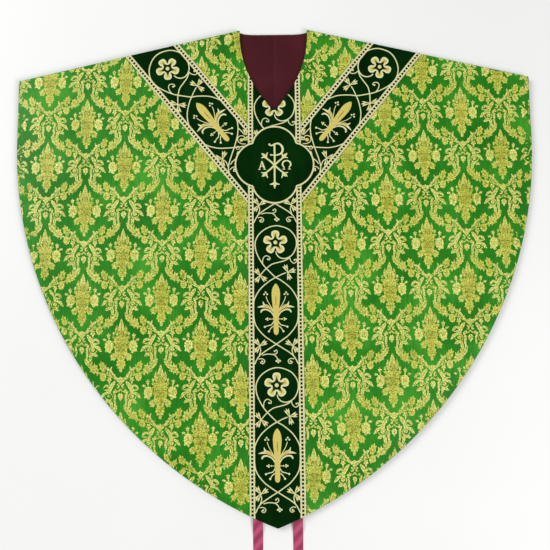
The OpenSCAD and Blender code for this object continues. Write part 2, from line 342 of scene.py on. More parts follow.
def lining():
    """Burgundy twill lining."""
    material, tree, shader = new_material(
        "burgundy lining",
        {"Roughness": 0.55, "Specular IOR Level": 0.1, "Sheen Weight": 0.02},
    )
    place = object_place(tree)
    cloudy = noise(tree, place, 9, 3)
    colour = ramp(tree, cloudy, [
        (0.3, (0.050, 0.0055, 0.0090)),
        (0.7, (0.074, 0.0092, 0.0140)),
    ])
    twill = ribs(tree, turned(tree, place, 1.0), 0.8)
    shaded = mixed(tree, twill, (0.85, 0.85, 0.85), (1.1, 1.1, 1.1))
    tree.links.new(mixed(tree, 1.0, colour, shaded, "MULTIPLY"), shader.inputs["Base Color"])
    bump(tree, shader, twill, 0.3, 0.1)
    return material


def canvas():
    """Undyed plain-weave interlining."""
    material, tree, shader = new_material("undyed canvas", {"Roughness": 0.9})
    place = object_place(tree)
    weave = sum_of(tree, ribs(tree, place, 0.9, "X"), ribs(tree, place, 0.9, "Y"), "MULTIPLY")
    colour = ramp(tree, weave, [(0, (0.42, 0.37, 0.28)), (1, (0.66, 0.61, 0.50))])
    tree.links.new(colour, shader.inputs["Base Color"])
    bump(tree, shader, weave, 0.5, 0.2)
    return material


def stitches(tree, pitch_mm, slant):
    """Fine threads laid side by side along a stroke, leaning by a slant."""
    along = sum_of(tree, thread(tree, "along"), 2 * math.pi / (pitch_mm / 1000), "MULTIPLY")
    lean = sum_of(tree, thread(tree, "across"), slant, "MULTIPLY")
    node = add(tree, "ShaderNodeMath", operation="SINE")
    tree.links.new(sum_of(tree, along, lean), node.inputs[0])
    return sum_of(tree, sum_of(tree, node.outputs[0], 0.5, "MULTIPLY"), 0.5)


def embroidery():
    """Satin-stitched rayon: cream at tone 0, gold at 1, brown-gold at 2."""
    material, tree, shader = new_material(
        "cream and gold satin stitch",
        {"Roughness": 0.42, "Specular IOR Level": 0.3, "Sheen Weight": 0.03},
    )
    place = object_place(tree)
    tone = sum_of(tree, thread(tree, "tone"), 0.5, "MULTIPLY")
    uneven = sum_of(tree, noise(tree, place, 120, 2), 0.10, "MULTIPLY")
    colour = ramp(tree, sum_of(tree, sum_of(tree, tone, uneven), 0.05, "SUBTRACT"), [
        (0.0, (0.79, 0.78, 0.42)),
        (0.5, (0.70, 0.58, 0.13)),
        (1.0, (0.055, 0.040, 0.006)),
    ])
    laid = stitches(tree, 0.7, 1.6)
    shaded = mixed(tree, laid, (0.74, 0.75, 0.68), (1.06, 1.06, 1.06))
    tree.links.new(mixed(tree, 1.0, colour, shaded, "MULTIPLY"), shader.inputs["Base Color"])
    bump(tree, shader, laid, 0.6, 0.12)
    return material


def twisted_thread(name, pitch_mm, light, dark):
    """Two-ply twisted gold thread or cord, with painted shade in the grooves between its plies."""
    material, tree, shader = new_material(
        name,
        {"Roughness": 0.45, "Specular IOR Level": 0.3},
    )
    place = object_place(tree)
    ply_ridges_and_groove_shade = stitches(tree, pitch_mm, 2.4)
    worn = noise(tree, place, 90, 2)
    # The dark colour sits in the grooves between the plies as painted shade; the light colour is on the
    # plies' crowns.
    colour = ramp(tree, ply_ridges_and_groove_shade, [(0.0, dark), (0.45, light)])
    shaded = mixed(tree, worn, (0.86, 0.85, 0.80), (1.1, 1.1, 1.1))
    tree.links.new(mixed(tree, 1.0, colour, shaded, "MULTIPLY"), shader.inputs["Base Color"])
    bump(tree, shader, ply_ridges_and_groove_shade, 0.7, 0.3)
    return material


def ribbon_satin():
    """Magenta double-faced satin ribbon with corded edges, crossed by painted diagonal bands of sheen."""
    material, tree, shader = new_material(
        "magenta satin ribbon",
        {"Roughness": 0.35, "Specular IOR Level": 0.4, "Sheen Weight": 0.05},
    )
    place = object_place(tree)
    # Lighter and darker diagonal bands across the satin are painted sheen.
    painted_sheen_bands = ribs(tree, turned(tree, place, 0.75, (1, 1, 0)), 24)
    colour = ramp(tree, painted_sheen_bands, [(0.2, (0.30, 0.030, 0.085)), (0.9, (0.50, 0.068, 0.165))])
    edge = size_of(tree, thread(tree, "across"))
    cord = ramp(tree, edge, [(0.86, (1, 1, 1)), (0.93, (0.62, 0.60, 0.62))])
    tree.links.new(mixed(tree, 1.0, colour, cord, "MULTIPLY"), shader.inputs["Base Color"])
    bump(tree, shader, ribs(tree, place, 0.4, "Y"), 0.25, 0.08)
    return material


def floor_paint():
    material, tree, shader = new_material("pale floor", {"Roughness": 0.9, "Specular IOR Level": 0.1})
    colour = ramp(tree, noise(tree, object_place(tree), 2, 2), [
        (0.3, (0.86, 0.86, 0.85)),
        (0.7, (0.89, 0.89, 0.88)),
    ])
    tree.links.new(colour, shader.inputs["Base Color"])
    return material


# ---- Outlines and distances ----

def shoulder_y(x, inset=0.0):
    return TOP_Y - SLOPE * (x - NECK_X) - inset * math.sqrt(1 + SLOPE * SLOPE)


def hem_y(x):
    return SIDE_Y - math.sqrt(HEM_R ** 2 - (abs(x) - HEM_X) ** 2)


def front_neck_y(x):
    return NECK_ARC_Y - math.sqrt(NECK_R ** 2 - (abs(x) - NECK_ARC_X) ** 2)


def back_neck_y(x):
    return BACK_NECK_Y + BACK_NECK_RISE * abs(x / NECK_X) ** 6


def medallion_reach(x):
    """Half the medallion's height at a distance from its middle."""
    x = abs(x)
    side = math.sqrt(max(LOBE_R ** 2 - (x - LOBE_OFFSET) ** 2, 0)) if x > 59.5 else 0
    return side or LOBE_OFFSET + math.sqrt(LOBE_R ** 2 - x ** 2)


def arc(x, y, radius, start, end, count):
    step = (end - start) / count
    angles = [start + step * i for i in range(count + 1)]
    return [(x + radius * math.cos(a), y + radius * math.sin(a)) for a in angles]


def half_outline(neck, inset):
    """Right half of the garment, from the hem point round by the shoulder to the neck."""
    radius = HEM_R - inset
    points = arc(HEM_X, SIDE_Y, radius, -math.acos(-HEM_X / radius), 0, 64)
    outer = HALF_W - inset
    inner = NECK_X + inset
    points.append((outer, shoulder_y(outer, inset)))
    points.append((inner, shoulder_y(inner, inset)))
    if neck == "front":
        radius = NECK_R + inset
        points += arc(NECK_ARC_X, NECK_ARC_Y, radius, 0, -math.acos(-NECK_ARC_X / radius), 30)
    else:
        shares = [1 - i / 24 for i in range(25)]
        points += [(inner * u, BACK_NECK_Y - inset + BACK_NECK_RISE * u ** 6) for u in shares]
    return points


def band_outline(half, low, high, count=24):
    """A strip down the middle between two edges, each given as a height at x."""
    xs = [half - 2 * half * i / count for i in range(count + 1)]
    return [(x, high(x)) for x in xs] + [(-x, low(x)) for x in xs]


def arm_point(s, u):
    """A point s along the right arm from its foot and u to the outer side of its middle."""
    x = s * math.sin(ARM_LEAN) + u * math.cos(ARM_LEAN)
    y = ARM_FOOT_Y + s * math.cos(ARM_LEAN) - u * math.sin(ARM_LEAN)
    return x, y


def arm_start(u, half):
    """How far up the arm its strip comes clear of the middle band and the medallion."""
    s = 0.0
    while s < 300:
        x, y = arm_point(s, u)
        if x > half and lobes_gap(x, y) > 0:
            return s
        s += 1.0
    return s


def arm_end(u):
    s = 400.0
    while arm_point(s, u)[1] < shoulder_y(arm_point(s, u)[0]):
        s += 0.5
    return s - 0.5


def arm_outline(half, band_half=BAND_HALF, back_off=0.0, count=20):
    us = [half - 2 * half * i / count for i in range(count + 1)]
    upper = [arm_point(arm_end(u) - back_off, u) for u in us]
    lower = [arm_point(arm_start(-u, band_half), -u) for u in us]
    return upper + lower


def medallion_outline():
    points = []
    for k in range(4):
        turn = math.pi / 2 * k
        lobe = arc(LOBE_OFFSET, 0, LOBE_R, -1.316, 1.316, 20)[:-1]
        for x, y in lobe:
            points.append((x * math.cos(turn) - y * math.sin(turn),
                           MEDALLION_Y + x * math.sin(turn) + y * math.cos(turn)))
    return points


def lobes_gap(x, y):
    """Distance outside the medallion."""
    down = np.asarray(y) - MEDALLION_Y
    gaps = [
        np.hypot(x - LOBE_OFFSET, down), np.hypot(x + LOBE_OFFSET, down),
        np.hypot(x, down - LOBE_OFFSET), np.hypot(x, down + LOBE_OFFSET),
    ]
    return np.minimum.reduce(gaps) - LOBE_R


def side_gap(x, y):
    """Distance inside the side edges and the hem."""
    curved = HEM_R - np.hypot(np.abs(x) - HEM_X, y - SIDE_Y)
    return np.where(y < SIDE_Y, curved, HALF_W - np.abs(x))


def shoulder_gap(x, y):
    return (TOP_Y - SLOPE * (np.abs(x) - NECK_X) - y) / math.sqrt(1 + SLOPE * SLOPE)


def front_neck_gap(x, y):
    curved = np.hypot(np.abs(x) - NECK_ARC_X, y - NECK_ARC_Y) - NECK_R
    return np.where(y < NECK_ARC_Y, curved, np.abs(x) - NECK_X)


def back_neck_gap(x, y):
    edge = BACK_NECK_Y + BACK_NECK_RISE * np.abs(x / NECK_X) ** 6
    return np.where(np.abs(x) < NECK_X, edge - y, 1000)


def front_gap(x, y):
    return np.minimum.reduce([side_gap(x, y), shoulder_gap(x, y), front_neck_gap(x, y)])


def back_gap(x, y):
    return np.minimum.reduce([side_gap(x, y), shoulder_gap(x, y), back_neck_gap(x, y)])


def edge_of(face):
    return front_gap if face == "front" else back_gap


def front_rise(x, y):
    """How far the front's soft waves lift it, and how its open edges sink towards the back."""
    waves = 1.2 * np.sin(x / 97 + y / 160) + 0.9 * np.sin(x / 61 - y / 75 + 1.3)
    waves = waves + 0.45 * np.sin(x / 34 + y / 29 + 0.6)
    loose = np.clip(shoulder_gap(x, y) / 90, 0, 1)
    edge = np.clip(np.minimum(side_gap(x, y), front_neck_gap(x, y)) / 60, 0, 1)
    edge = edge * edge * (3 - 2 * edge)
    return loose * ((2.55 + waves) * (0.25 + 0.75 * edge) - 3.0 * (1 - edge))


def back_lining_rise(x, y):
    """The back's lining lies a little loose below the neck."""
    free = np.clip((y - 180) / 120, 0, 1) * np.clip(back_gap(x, y) / 40, 0, 1)
    return free * (0.4 + 0.25 * np.sin(x / 40 + y / 90) + 0.15 * np.sin(y / 35 - x / 60))


# ---- Making meshes ----

def new_sketch():
    """An empty bmesh whose points know their place on their stroke."""
    bm = bmesh.new()
    for name in ("along", "across", "tone"):
        bm.verts.layers.float.new(name)
    return bm


def cut_lines(low, high, step):
    first = math.ceil(low / step)
    return [step * i for i in range(first, math.floor(high / step) + 1)]


def score(bm, step):
    """Cuts a flat shape into a grid fine enough to wave, and finer where it folds."""
    xs = [v.co.x for v in bm.verts]
    ys = [v.co.y for v in bm.verts]
    rows = cut_lines(min(ys), max(ys), step)
    rows += [y for y in range(FOLD_END - 8, FOLD_TOP + 9, 8) if min(ys) < y < max(ys)]
    cuts = [((x, 0, 0), (1, 0, 0)) for x in cut_lines(min(xs), max(xs), step)]
    cuts += [((0, y, 0), (0, 1, 0)) for y in rows]
    for spot, normal in cuts:
        geometry = bm.verts[:] + bm.edges[:] + bm.faces[:]
        bmesh.ops.bisect_plane(bm, geom=geometry, dist=0.01, plane_co=spot, plane_no=normal)


def slab(outline, low, high, step, rim=0.4):
    """A flat shape with a thickness and rounded rims."""
    bm = new_sketch()
    verts = [bm.verts.new((x, y, low)) for x, y in outline]
    bm.faces.new(verts)
    bmesh.ops.remove_doubles(bm, verts=bm.verts, dist=0.05)
    score(bm, step)
    extruded = bmesh.ops.extrude_face_region(bm, geom=bm.faces[:], use_keep_orig=True)
    moved = [g for g in extruded["geom"] if isinstance(g, bmesh.types.BMVert)]
    bmesh.ops.translate(bm, verts=moved, vec=(0, 0, high - low))
    bmesh.ops.recalc_face_normals(bm, faces=bm.faces)
    sharp = [e for e in bm.edges if len(e.link_faces) == 2 and e.calc_face_angle(0) > 1]
    sharp = [e for e in sharp if abs(e.verts[0].co.z - e.verts[1].co.z) < 0.01]
    bmesh.ops.bevel(
        bm, geom=sharp, offset=(high - low) * rim, segments=2, affect="EDGES",
        profile=0.5, material=-1, clamp_overlap=True,
    )
    return bm


def smooth_line(points, step, closed=False):
    """Points a step apart on a smooth line through the given ones, each with its share."""
    spots = [Vector(p) for p in points]
    count = len(spots)
    spans = count if closed else count - 1
    line = []
    for i in range(spans):
        if closed:
            around = [spots[(i + k) % count] for k in (-1, 0, 1, 2)]
        else:
            around = [spots[min(max(i + k, 0), count - 1)] for k in (-1, 0, 1, 2)]
        a, b, c, d = around
        pieces = max(1, math.ceil((c - b).length / step))
        for j in range(pieces):
            t = j / pieces
            spot = 0.5 * (2 * b + (c - a) * t + (2 * a - 5 * b + 4 * c - d) * t * t
                          + (3 * b - a - 3 * c + d) * t * t * t)
            line.append((spot, i + t))
    line.append((spots[0].copy() if closed else spots[-1].copy(), float(spans)))
    return line


def between(values, share):
    """A value part of the way along a list, or the one value given."""
    if isinstance(values, (int, float)):
        return values
    i = min(int(share), len(values) - 2)
    return values[i] + (values[i + 1] - values[i]) * min(share - i, 1)


def stroke(bm, points, widths, height=0.9, tone=0.0, vein=0.0, sides=4, step=2.5,
           base=0.0, blunt=True, closed=False, teeth=0.0, sink=0.12):
    """A raised line of stitching or weaving: a grid laid along a smooth line."""
    line = smooth_line(points, step, closed)
    rows = len(line) - 1
    lengths = [0.0]
    for (a, _), (b, _) in zip(line, line[1:]):
        lengths.append(lengths[-1] + (b - a).length)
    along = bm.verts.layers.float["along"]
    across = bm.verts.layers.float["across"]
    tones = bm.verts.layers.float["tone"]
    made = bmesh.ops.create_grid(bm, x_segments=rows, y_segments=sides, size=1.0)["verts"]
    for v in made:
        i = round((v.co.x + 1) / 2 * rows)
        side = v.co.y
        spot, share = line[i]
        after = line[(i + 1) % rows][0] if closed else line[min(i + 1, rows)][0]
        before = line[(i - 1) % rows][0] if closed else line[max(i - 1, 0)][0]
        run = (after - before).normalized()
        normal = Vector((-run.y, run.x))
        width = between(widths, share)
        if teeth and i % 2:
            width *= 1 - teeth
        lift = height * (math.sqrt(max(1 - side * side, 0)) if sides > 2 else 1 - abs(side))
        end = min(lengths[i], lengths[-1] - lengths[i])
        if not closed and end < width / 2:
            if blunt:
                width *= 0.35 + 0.65 * math.sqrt(max(2 * end / width, 0))
            lift *= 0.15 if end < 0.01 else 0.8
        place = spot + normal * side * width / 2
        v.co = (place.x, place.y, base - sink + lift)
        v[along] = lengths[i] / 1000
        v[across] = side
        v[tones] = tone + vein * (1 - abs(side))


def knob(bm, x, y, radius, height=0.9, tone=0.0):
    """A small padded dot, domed above and sunk below."""
    place = Matrix.Translation((x, y, 0)) @ Matrix.Diagonal((radius, radius, height, 1))
    made = bmesh.ops.create_icosphere(bm, subdivisions=2, radius=1, matrix=place)["verts"]
    across = bm.verts.layers.float["across"]
    along = bm.verts.layers.float["along"]
    tones = bm.verts.layers.float["tone"]
    for v in made:
        v[across] = (v.co.x - x) / radius
        v[along] = v.co.y / 1000
        v[tones] = tone


def copies(bm, places):
    """Puts copies of what is drawn at each place, and takes the drawing away."""
    original = bm.verts[:] + bm.edges[:] + bm.faces[:]
    for place in places:
        made = bmesh.ops.duplicate(bm, geom=original)["geom"]
        verts = [g for g in made if isinstance(g, bmesh.types.BMVert)]
        bmesh.ops.transform(bm, matrix=place, verts=verts)
        if place.determinant() < 0:
            faces = [g for g in made if isinstance(g, bmesh.types.BMFace)]
            bmesh.ops.reverse_faces(bm, faces=faces)
    bmesh.ops.delete(bm, geom=[g for g in original if isinstance(g, bmesh.types.BMVert)], context="VERTS")


def at(x, y, scale_x=1.0, scale_y=1.0):
    return Matrix.Translation((x, y, 0)) @ Matrix.Diagonal((scale_x, scale_y, 1, 1))


def trim(bm, gap):
    """Turns what runs past an edge back to the edge, and takes away what lies wholly past it."""
    bm.verts.index_update()
    bm.verts.ensure_lookup_table()
    co = np.array([v.co for v in bm.verts]).reshape(-1, 3)
    x = co[:, 0]
    y = co[:, 1]
    out = gap(x, y)
    past = out < 0
    slope_x = (gap(x + 0.5, y) - gap(x - 0.5, y))
    slope_y = (gap(x, y + 0.5) - gap(x, y - 0.5))
    steep = np.maximum(slope_x ** 2 + slope_y ** 2, 0.05)
    gone = [f for f in bm.faces if all(past[v.index] for v in f.verts)]
    move_x = -out * slope_x / steep
    move_y = -out * slope_y / steep
    for i in np.nonzero(past)[0]:
        v = bm.verts[int(i)]
        v.co.x += max(-8, min(8, move_x[i]))
        v.co.y += max(-8, min(8, move_y[i]))
    bmesh.ops.delete(bm, geom=gone, context="FACES")


def to_back(bm, front_level, back_level):
    """Turns what was drawn on the front over onto the back's face."""
    turn = Matrix.Rotation(math.pi, 4, "Y")
    shift = Matrix.Translation((0, 0, back_level + front_level))
    bmesh.ops.transform(bm, matrix=shift @ turn, verts=bm.verts)


def piece(name, bm, material, rise=None, crease=1.2):
    """Waves a drawing, turns it into metres and makes it a piece."""
    mesh = bpy.data.meshes.new(name)
    bm.to_mesh(mesh)
    bm.free()
    co = np.zeros(len(mesh.vertices) * 3)
    mesh.vertices.foreach_get("co", co)
    co = co.reshape(-1, 3)
    if rise is not None:
        co[:, 2] += rise(co[:, 0], co[:, 1])
    mesh.vertices.foreach_set("co", (co / 1000).ravel())
    mesh.update()
    mesh.shade_smooth()
    mesh.set_sharp_from_angle(angle=crease)
    mesh.materials.append(material)
    made = bpy.data.objects.new(name, mesh)
    bpy.context.scene.collection.objects.link(made)
    return made


def fold(made):
    """Bends a piece with the front, where it folds up between the shoulders."""
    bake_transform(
        made, "back", "front",
        start=(0, FOLD_TOP / 1000, HINGE_Z / 1000), end=(0, FOLD_END / 1000, HINGE_Z / 1000),
    )


def mirrored(bm):
    bmesh.ops.transform(bm, matrix=Matrix.Diagonal((-1, 1, 1, 1)), verts=bm.verts)
    bmesh.ops.reverse_faces(bm, faces=bm.faces)


# ---- Tie ribbons ----

def make_ribbon(side, material):
    """A flat ribbon sewn inside the back, lying down the lining and out past the hem."""
    name = "tie_ribbon_right" if side > 0 else "tie_ribbon_left"
    middle = 51 * side
    bm = new_sketch()
    line = []
    for (y0, z0), (y1, z1) in zip(RIBBON_ROUTE, RIBBON_ROUTE[1:]):
        pieces = max(1, math.ceil(math.hypot(y1 - y0, z1 - z0) / 12))
        for j in range(pieces):
            line.append((y0 + (y1 - y0) * j / pieces, z0 + (z1 - z0) * j / pieces))
    line.append(RIBBON_ROUTE[-1])
    rows = len(line) - 1
    made = bmesh.ops.create_grid(bm, x_segments=rows, y_segments=8, size=1.0)["verts"]
    along = bm.verts.layers.float["along"]
    across = bm.verts.layers.float["across"]
    for v in made:
        y, z = line[round((v.co.x + 1) / 2 * rows)]
        share = v.co.y
        v.co = (middle - share * 12.5, y, z)
        v[along] = (100 - y) / 1000
        v[across] = share
    extruded = bmesh.ops.extrude_face_region(bm, geom=bm.faces[:], use_keep_orig=True)
    moved = [g for g in extruded["geom"] if isinstance(g, bmesh.types.BMVert)]
    bmesh.ops.translate(bm, verts=moved, vec=(0, 0, 0.4))
    bmesh.ops.recalc_face_normals(bm, faces=bm.faces)
    ribbon = piece(name + "_satin", bm, material)
    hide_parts(name)
    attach(ribbon, "back")
    return ribbon


def make_patches(material):
    """Squares of ribbon that hold the ribbons' ends to the lining."""
    bm = new_sketch()
    for side in (-1, 1):
        outline = [(51 * side + x, y) for x, y in ((-12.5, 100), (12.5, 100), (12.5, 125), (-12.5, 125))]
        verts = [bm.verts.new((x, y, 5.02)) for x, y in outline]
        bm.faces.new(verts)
    extruded = bmesh.ops.extrude_face_region(bm, geom=bm.faces[:], use_keep_orig=True)
    moved = [g for g in extruded["geom"] if isinstance(g, bmesh.types.BMVert)]
    bmesh.ops.translate(bm, verts=moved, vec=(0, 0, 0.4))
    bmesh.ops.recalc_face_normals(bm, faces=bm.faces)
    bmesh.ops.bevel(bm, geom=bm.edges[:], offset=0.12, segments=2, affect="EDGES", profile=0.5, material=-1)
    patches = piece("ribbon_patch_pair", bm, material)
    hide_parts("ribbon_patches")
    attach(patches, "back")


# ---- Cloth, lining and canvas ----

def make_brocade(side, material):
    """The front's and the back's half of green brocade ground."""
    hand = "right" if side > 0 else "left"
    front = slab(half_outline("front", 0), under("front_cloth_left"), FRONT_CLOTH_Z, 20)
    back = slab(half_outline("back", 0), BACK_CLOTH_Z, top_of("back_cloth_left"), 20)
    if side < 0:
        mirrored(front)
        mirrored(back)
    sheet = piece("front_brocade_" + hand, front, material, front_rise, CLOTH_CREASE)
    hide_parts("front_cloth_" + hand, "shoulder_cloth_" + hand)
    fold(sheet)
    sheet = piece("back_brocade_" + hand, back, material, None, CLOTH_CREASE)
    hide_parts("back_cloth_" + hand)
    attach(sheet, "back")


def make_lining(side, material):
    hand = "right" if side > 0 else "left"
    front = slab(half_outline("front", 1.2), under("front_lining_left"), top_of("front_lining_left"), 20)
    back = slab(half_outline("back", 1.2), under("back_lining_left"), top_of("back_lining_left"), 20)
    if side < 0:
        mirrored(front)
        mirrored(back)
    sheet = piece("back_lining_sheet_" + hand, back, material, back_lining_rise, CLOTH_CREASE)
    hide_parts("back_lining_" + hand)
    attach(sheet, "back")
    sheet = piece("front_lining_sheet_" + hand, front, material, front_rise, CLOTH_CREASE)
    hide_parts("front_lining_" + hand, "shoulder_lining_" + hand)
    fold(sheet)


def make_shoulder_seam(side, material):
    """The rolled brocade edge in which front, back and stay tape are sewn together."""
    hand = "right" if side > 0 else "left"
    start = NECK_X + 0.6
    end = HALF_W - 0.6
    outline = [
        (start, shoulder_y(start, 12)), (end, shoulder_y(end, 12)),
        (end, shoulder_y(end, 0.2)), (start, shoulder_y(start, 0.2)),
    ]
    bm = slab(outline, top_of("back_cloth_left"), under("front_cloth_left"), 60, 0.3)
    if side < 0:
        mirrored(bm)
    seam = piece("shoulder_seam_" + hand, bm, material)
    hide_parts("shoulder_tape_" + hand)
    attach(seam, "back")


def make_canvases(material):
    """Interlining under the Y, between the brocade and the lining."""
    low = under("front_interlining") + 0.03
    high = top_of("front_interlining") - 0.03
    strip = slab(band_outline(66, lambda x: hem_y(x) + 8, lambda x: front_neck_y(x) - 8), low, high, 20)
    made = piece("front_canvas_strip", strip, material, front_rise, CLOTH_CREASE)
    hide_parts("front_interlining", "shoulder_interlining")
    fold(made)
    for side, hand in ((1, "right"), (-1, "left")):
        bm = slab(arm_outline(63, 66.5, 14), low, high, 20)
        if side < 0:
            mirrored(bm)
        made = piece("front_canvas_arm_" + hand, bm, material, front_rise, CLOTH_CREASE)
        fold(made)
    low = under("back_interlining") + 0.03
    high = top_of("back_interlining") - 0.03
    strip = slab(band_outline(66, lambda x: hem_y(x) + 8, lambda x: back_neck_y(x) - 13), low, high, 30)
    made = piece("back_canvas_strip", strip, material)
    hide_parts("back_interlining")
    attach(made, "back")
    for side, hand in ((1, "right"), (-1, "left")):
        bm = slab(arm_outline(63, 66.5, 14), low, high, 30)
        if side < 0:
            mirrored(bm)
        made = piece("back_canvas_arm_" + hand, bm, material)
        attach(made, "back")


# ---- Velvet ----


def lay_velvet(name, outline, face, material):
    """One piece of velvet, with its flat size in metres."""
    front = face == "front"
    low = FRONT_CLOTH_Z if front else BACK_VELVET_Z
    high = FRONT_VELVET_Z if front else BACK_CLOTH_Z
    bm = slab(outline, low, high, 12 if front else 24, 0.35)
    if name.endswith("left"):
        mirrored(bm)
    rise = front_rise if front else None
    made = piece(face + "_" + name + "_pile", bm, material, rise, CLOTH_CREASE)
    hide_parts(face + "_" + name)
    return made


def make_velvets(material):
    column = band_outline(BAND_HALF, hem_y, lambda x: MEDALLION_Y - medallion_reach(x))
    stems = {
        "front": band_outline(BAND_HALF, lambda x: MEDALLION_Y + medallion_reach(x), front_neck_y),
        "back": band_outline(BAND_HALF, lambda x: MEDALLION_Y + medallion_reach(x), back_neck_y),
    }
    for face in ("front", "back"):
        made = lay_velvet("column_velvet", column, face, material)
        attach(made, face)
        made = lay_velvet("medallion_velvet", medallion_outline(), face, material)
        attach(made, face)
        stem = lay_velvet("stem_velvet", stems[face], face, material)
        arms = {}
        for hand in ("right", "left"):
            outline = arm_outline(ARM_HALF)
            arms[hand] = lay_velvet("arm_velvet_" + hand, outline, face, material)
        if face == "back":
            for made in (stem, arms["left"], arms["right"]):
                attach(made, "back")
            continue
        fold(stem)
        for hand, made in arms.items():
            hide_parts("shoulder_velvet_" + hand)
            fold(made)


# ---- Ladder braid and medallion cord ----

def draw_braid(bm, start, end, height):
    """Two rails with square openings between their rungs, from one end to the other."""
    a = Vector(start)
    b = Vector(end)
    run = (b - a).normalized()
    side = Vector((-run.y, run.x))
    for offset in (-RAIL_OFFSET, RAIL_OFFSET):
        stroke(bm, [a + side * offset, b + side * offset], RAIL_W, height, step=4)
    count = int((b - a).length / BRAID_PITCH)
    for i in range(count + 1):
        middle = a + run * (BRAID_PITCH * (i + 0.5))
        ends = [middle - side * 4, middle + side * 4]
        stroke(bm, ends, RUNG_W, height * 0.85, tone=0.3, step=2, blunt=False)
        for offset in (-6.2, 6.2):
            knob(bm, *(middle + side * offset), 1.6, height * 0.9)


def braid_runs():
    """Where each length of braid runs before it is trimmed, on the right half."""
    top = MEDALLION_Y - 50
    column = [((BAND_BRAID_X, -680), (BAND_BRAID_X, top))]
    stem = [((BAND_BRAID_X, MEDALLION_Y + 50), (BAND_BRAID_X, 665))]
    arm = [
        (arm_point(20, ARM_BRAID_X), arm_point(640, ARM_BRAID_X)),
        (arm_point(140, -ARM_BRAID_X), arm_point(640, -ARM_BRAID_X)),
    ]
    return column, stem, arm


def past_band(x, y):
    return np.minimum(np.abs(x) - BAND_HALF, lobes_gap(x, y) - 2.5)


def braid_edges(gap, kind):
    if kind == "arm":
        return lambda x, y: np.minimum(gap(x, y), past_band(x, y))
    return lambda x, y: np.minimum(gap(x, y), lobes_gap(x, y) - 2.5)


def draw_braids(runs, gap, kind, hands, height):
    bm = new_sketch()
    for start, end in runs:
        for side in hands:
            draw_braid(bm, (side * start[0], start[1]), (side * end[0], end[1]), height)
    bmesh.ops.translate(bm, verts=bm.verts, vec=(0, 0, FRONT_VELVET_Z))
    trim(bm, braid_edges(gap, kind))
    return bm


def make_braids(material):
    column, stem, arm = braid_runs()
    sets = [
        ("column_braid_left", column, "column", (-1,)),
        ("column_braid_right", column, "column", (1,)),
        ("stem_braid", stem, "stem", (-1, 1)),
        ("arm_braid_left", arm, "arm", (-1,)),
        ("arm_braid_right", arm, "arm", (1,)),
    ]
    for name, runs, kind, hands in sets:
        bm = draw_braids(runs, front_gap, kind, hands, 0.95)
        made = piece("front_" + name + "_lace", bm, material, front_rise)
        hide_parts("front_" + name)
        if kind == "arm":
            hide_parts("shoulder_braid_" + name.split("_")[-1])
        if kind == "column":
            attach(made, "front")
        else:
            fold(made)
        bm = draw_braids(runs, back_gap, kind, [-h for h in hands], 1.1)
        to_back(bm, FRONT_VELVET_Z, BACK_VELVET_Z)
        made = piece("back_" + name + "_lace", bm, material)
        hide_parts("back_" + name)
        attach(made, "back")


def make_cords(material):
    """Gold cord round each medallion."""
    for face in ("front", "back"):
        bm = new_sketch()
        outline = medallion_outline()
        stroke(bm, outline, 4.6, 1.4, sides=6, step=4, closed=True)
        bmesh.ops.remove_doubles(bm, verts=bm.verts, dist=0.02)
        bmesh.ops.translate(bm, verts=bm.verts, vec=(0, 0, FRONT_VELVET_Z))
        if face == "back":
            to_back(bm, FRONT_VELVET_Z, BACK_VELVET_Z)
        rise = front_rise if face == "front" else None
        made = piece(face + "_medallion_gold_cord", bm, material, rise)
        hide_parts(face + "_medallion_cord")
        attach(made, face)


# ---- Embroidery ----

def both_ways(bm, points, widths, **options):
    """A stroke and its mirror image."""
    stroke(bm, points, widths, **options)
    stroke(bm, [(-x, y) for x, y in points], widths, **options)


def tendril(bm, points, ball, radius=2.6, width=2.6):
    stroke(bm, points + [ball], [width] * len(points) + [width * 0.7], height=0.8, step=1.8)
    knob(bm, ball[0], ball[1], radius, 0.9)


def petal(bm, centre, tip):
    """A leaf that widens to three points, with a dark vein."""
    a = Vector(centre)
    run = (Vector(tip) - a).normalized()
    side = Vector((-run.y, run.x))
    spine = [a + run * far for far in (1.5, 7, 12, 16, 22.5)]
    stroke(bm, spine, [3, 7.5, 9.5, 6, 0.8], height=0.9, tone=0.1, vein=0.5, step=2, blunt=False)
    for lean in (-1, 1):
        outer = [a + run * far + side * lean * out for far, out in ((9, 2), (14.5, 4), (20, 6.5))]
        stroke(bm, outer, [4.5, 4.4, 0.8], height=0.85, tone=0.1, step=2.5, blunt=False)
    stroke(bm, [a + run * 4, a + run * 9.5, a + run * 15], [1, 2.4, 0.6], height=0.3, tone=2.0,
           base=0.8, step=3, blunt=False)


def trefoil(bm, centre, tips):
    for tip in tips:
        petal(bm, centre, tip)
    knob(bm, centre[0], centre[1], 2.4, 1.0)


def draw_rose(bm):
    """Five scalloped petals round a dark star, with a padded middle."""
    half = [(-6.6, 9.6), (-5.9, 15.5), (-8.2, 21.5), (-6.6, 28), (0, 30)]
    loop = half + [(-x, y) for x, y in reversed(half[:-1])]
    for k in range(5):
        spin = Matrix.Rotation(math.radians(72 * k), 2)
        fill = [spin @ Vector(p) for p in ((0, 15), (0, 18), (0, 22), (0, 28))]
        stroke(bm, fill, [4, 9, 12, 10], height=0.75, tone=1.0, step=2.5, blunt=False)
        stroke(bm, [spin @ Vector(p) for p in loop], 5.6, height=1.0, step=2)
        slit = [spin @ Vector(p) for p in ((0, 13), (0, 17), (0, 24))]
        stroke(bm, slit, [4.2, 3.2, 0.6], height=0.3, tone=2.0, step=3, base=0.74, blunt=False)
    knob(bm, 0, 0, 5.4, 1.0, tone=0.35)


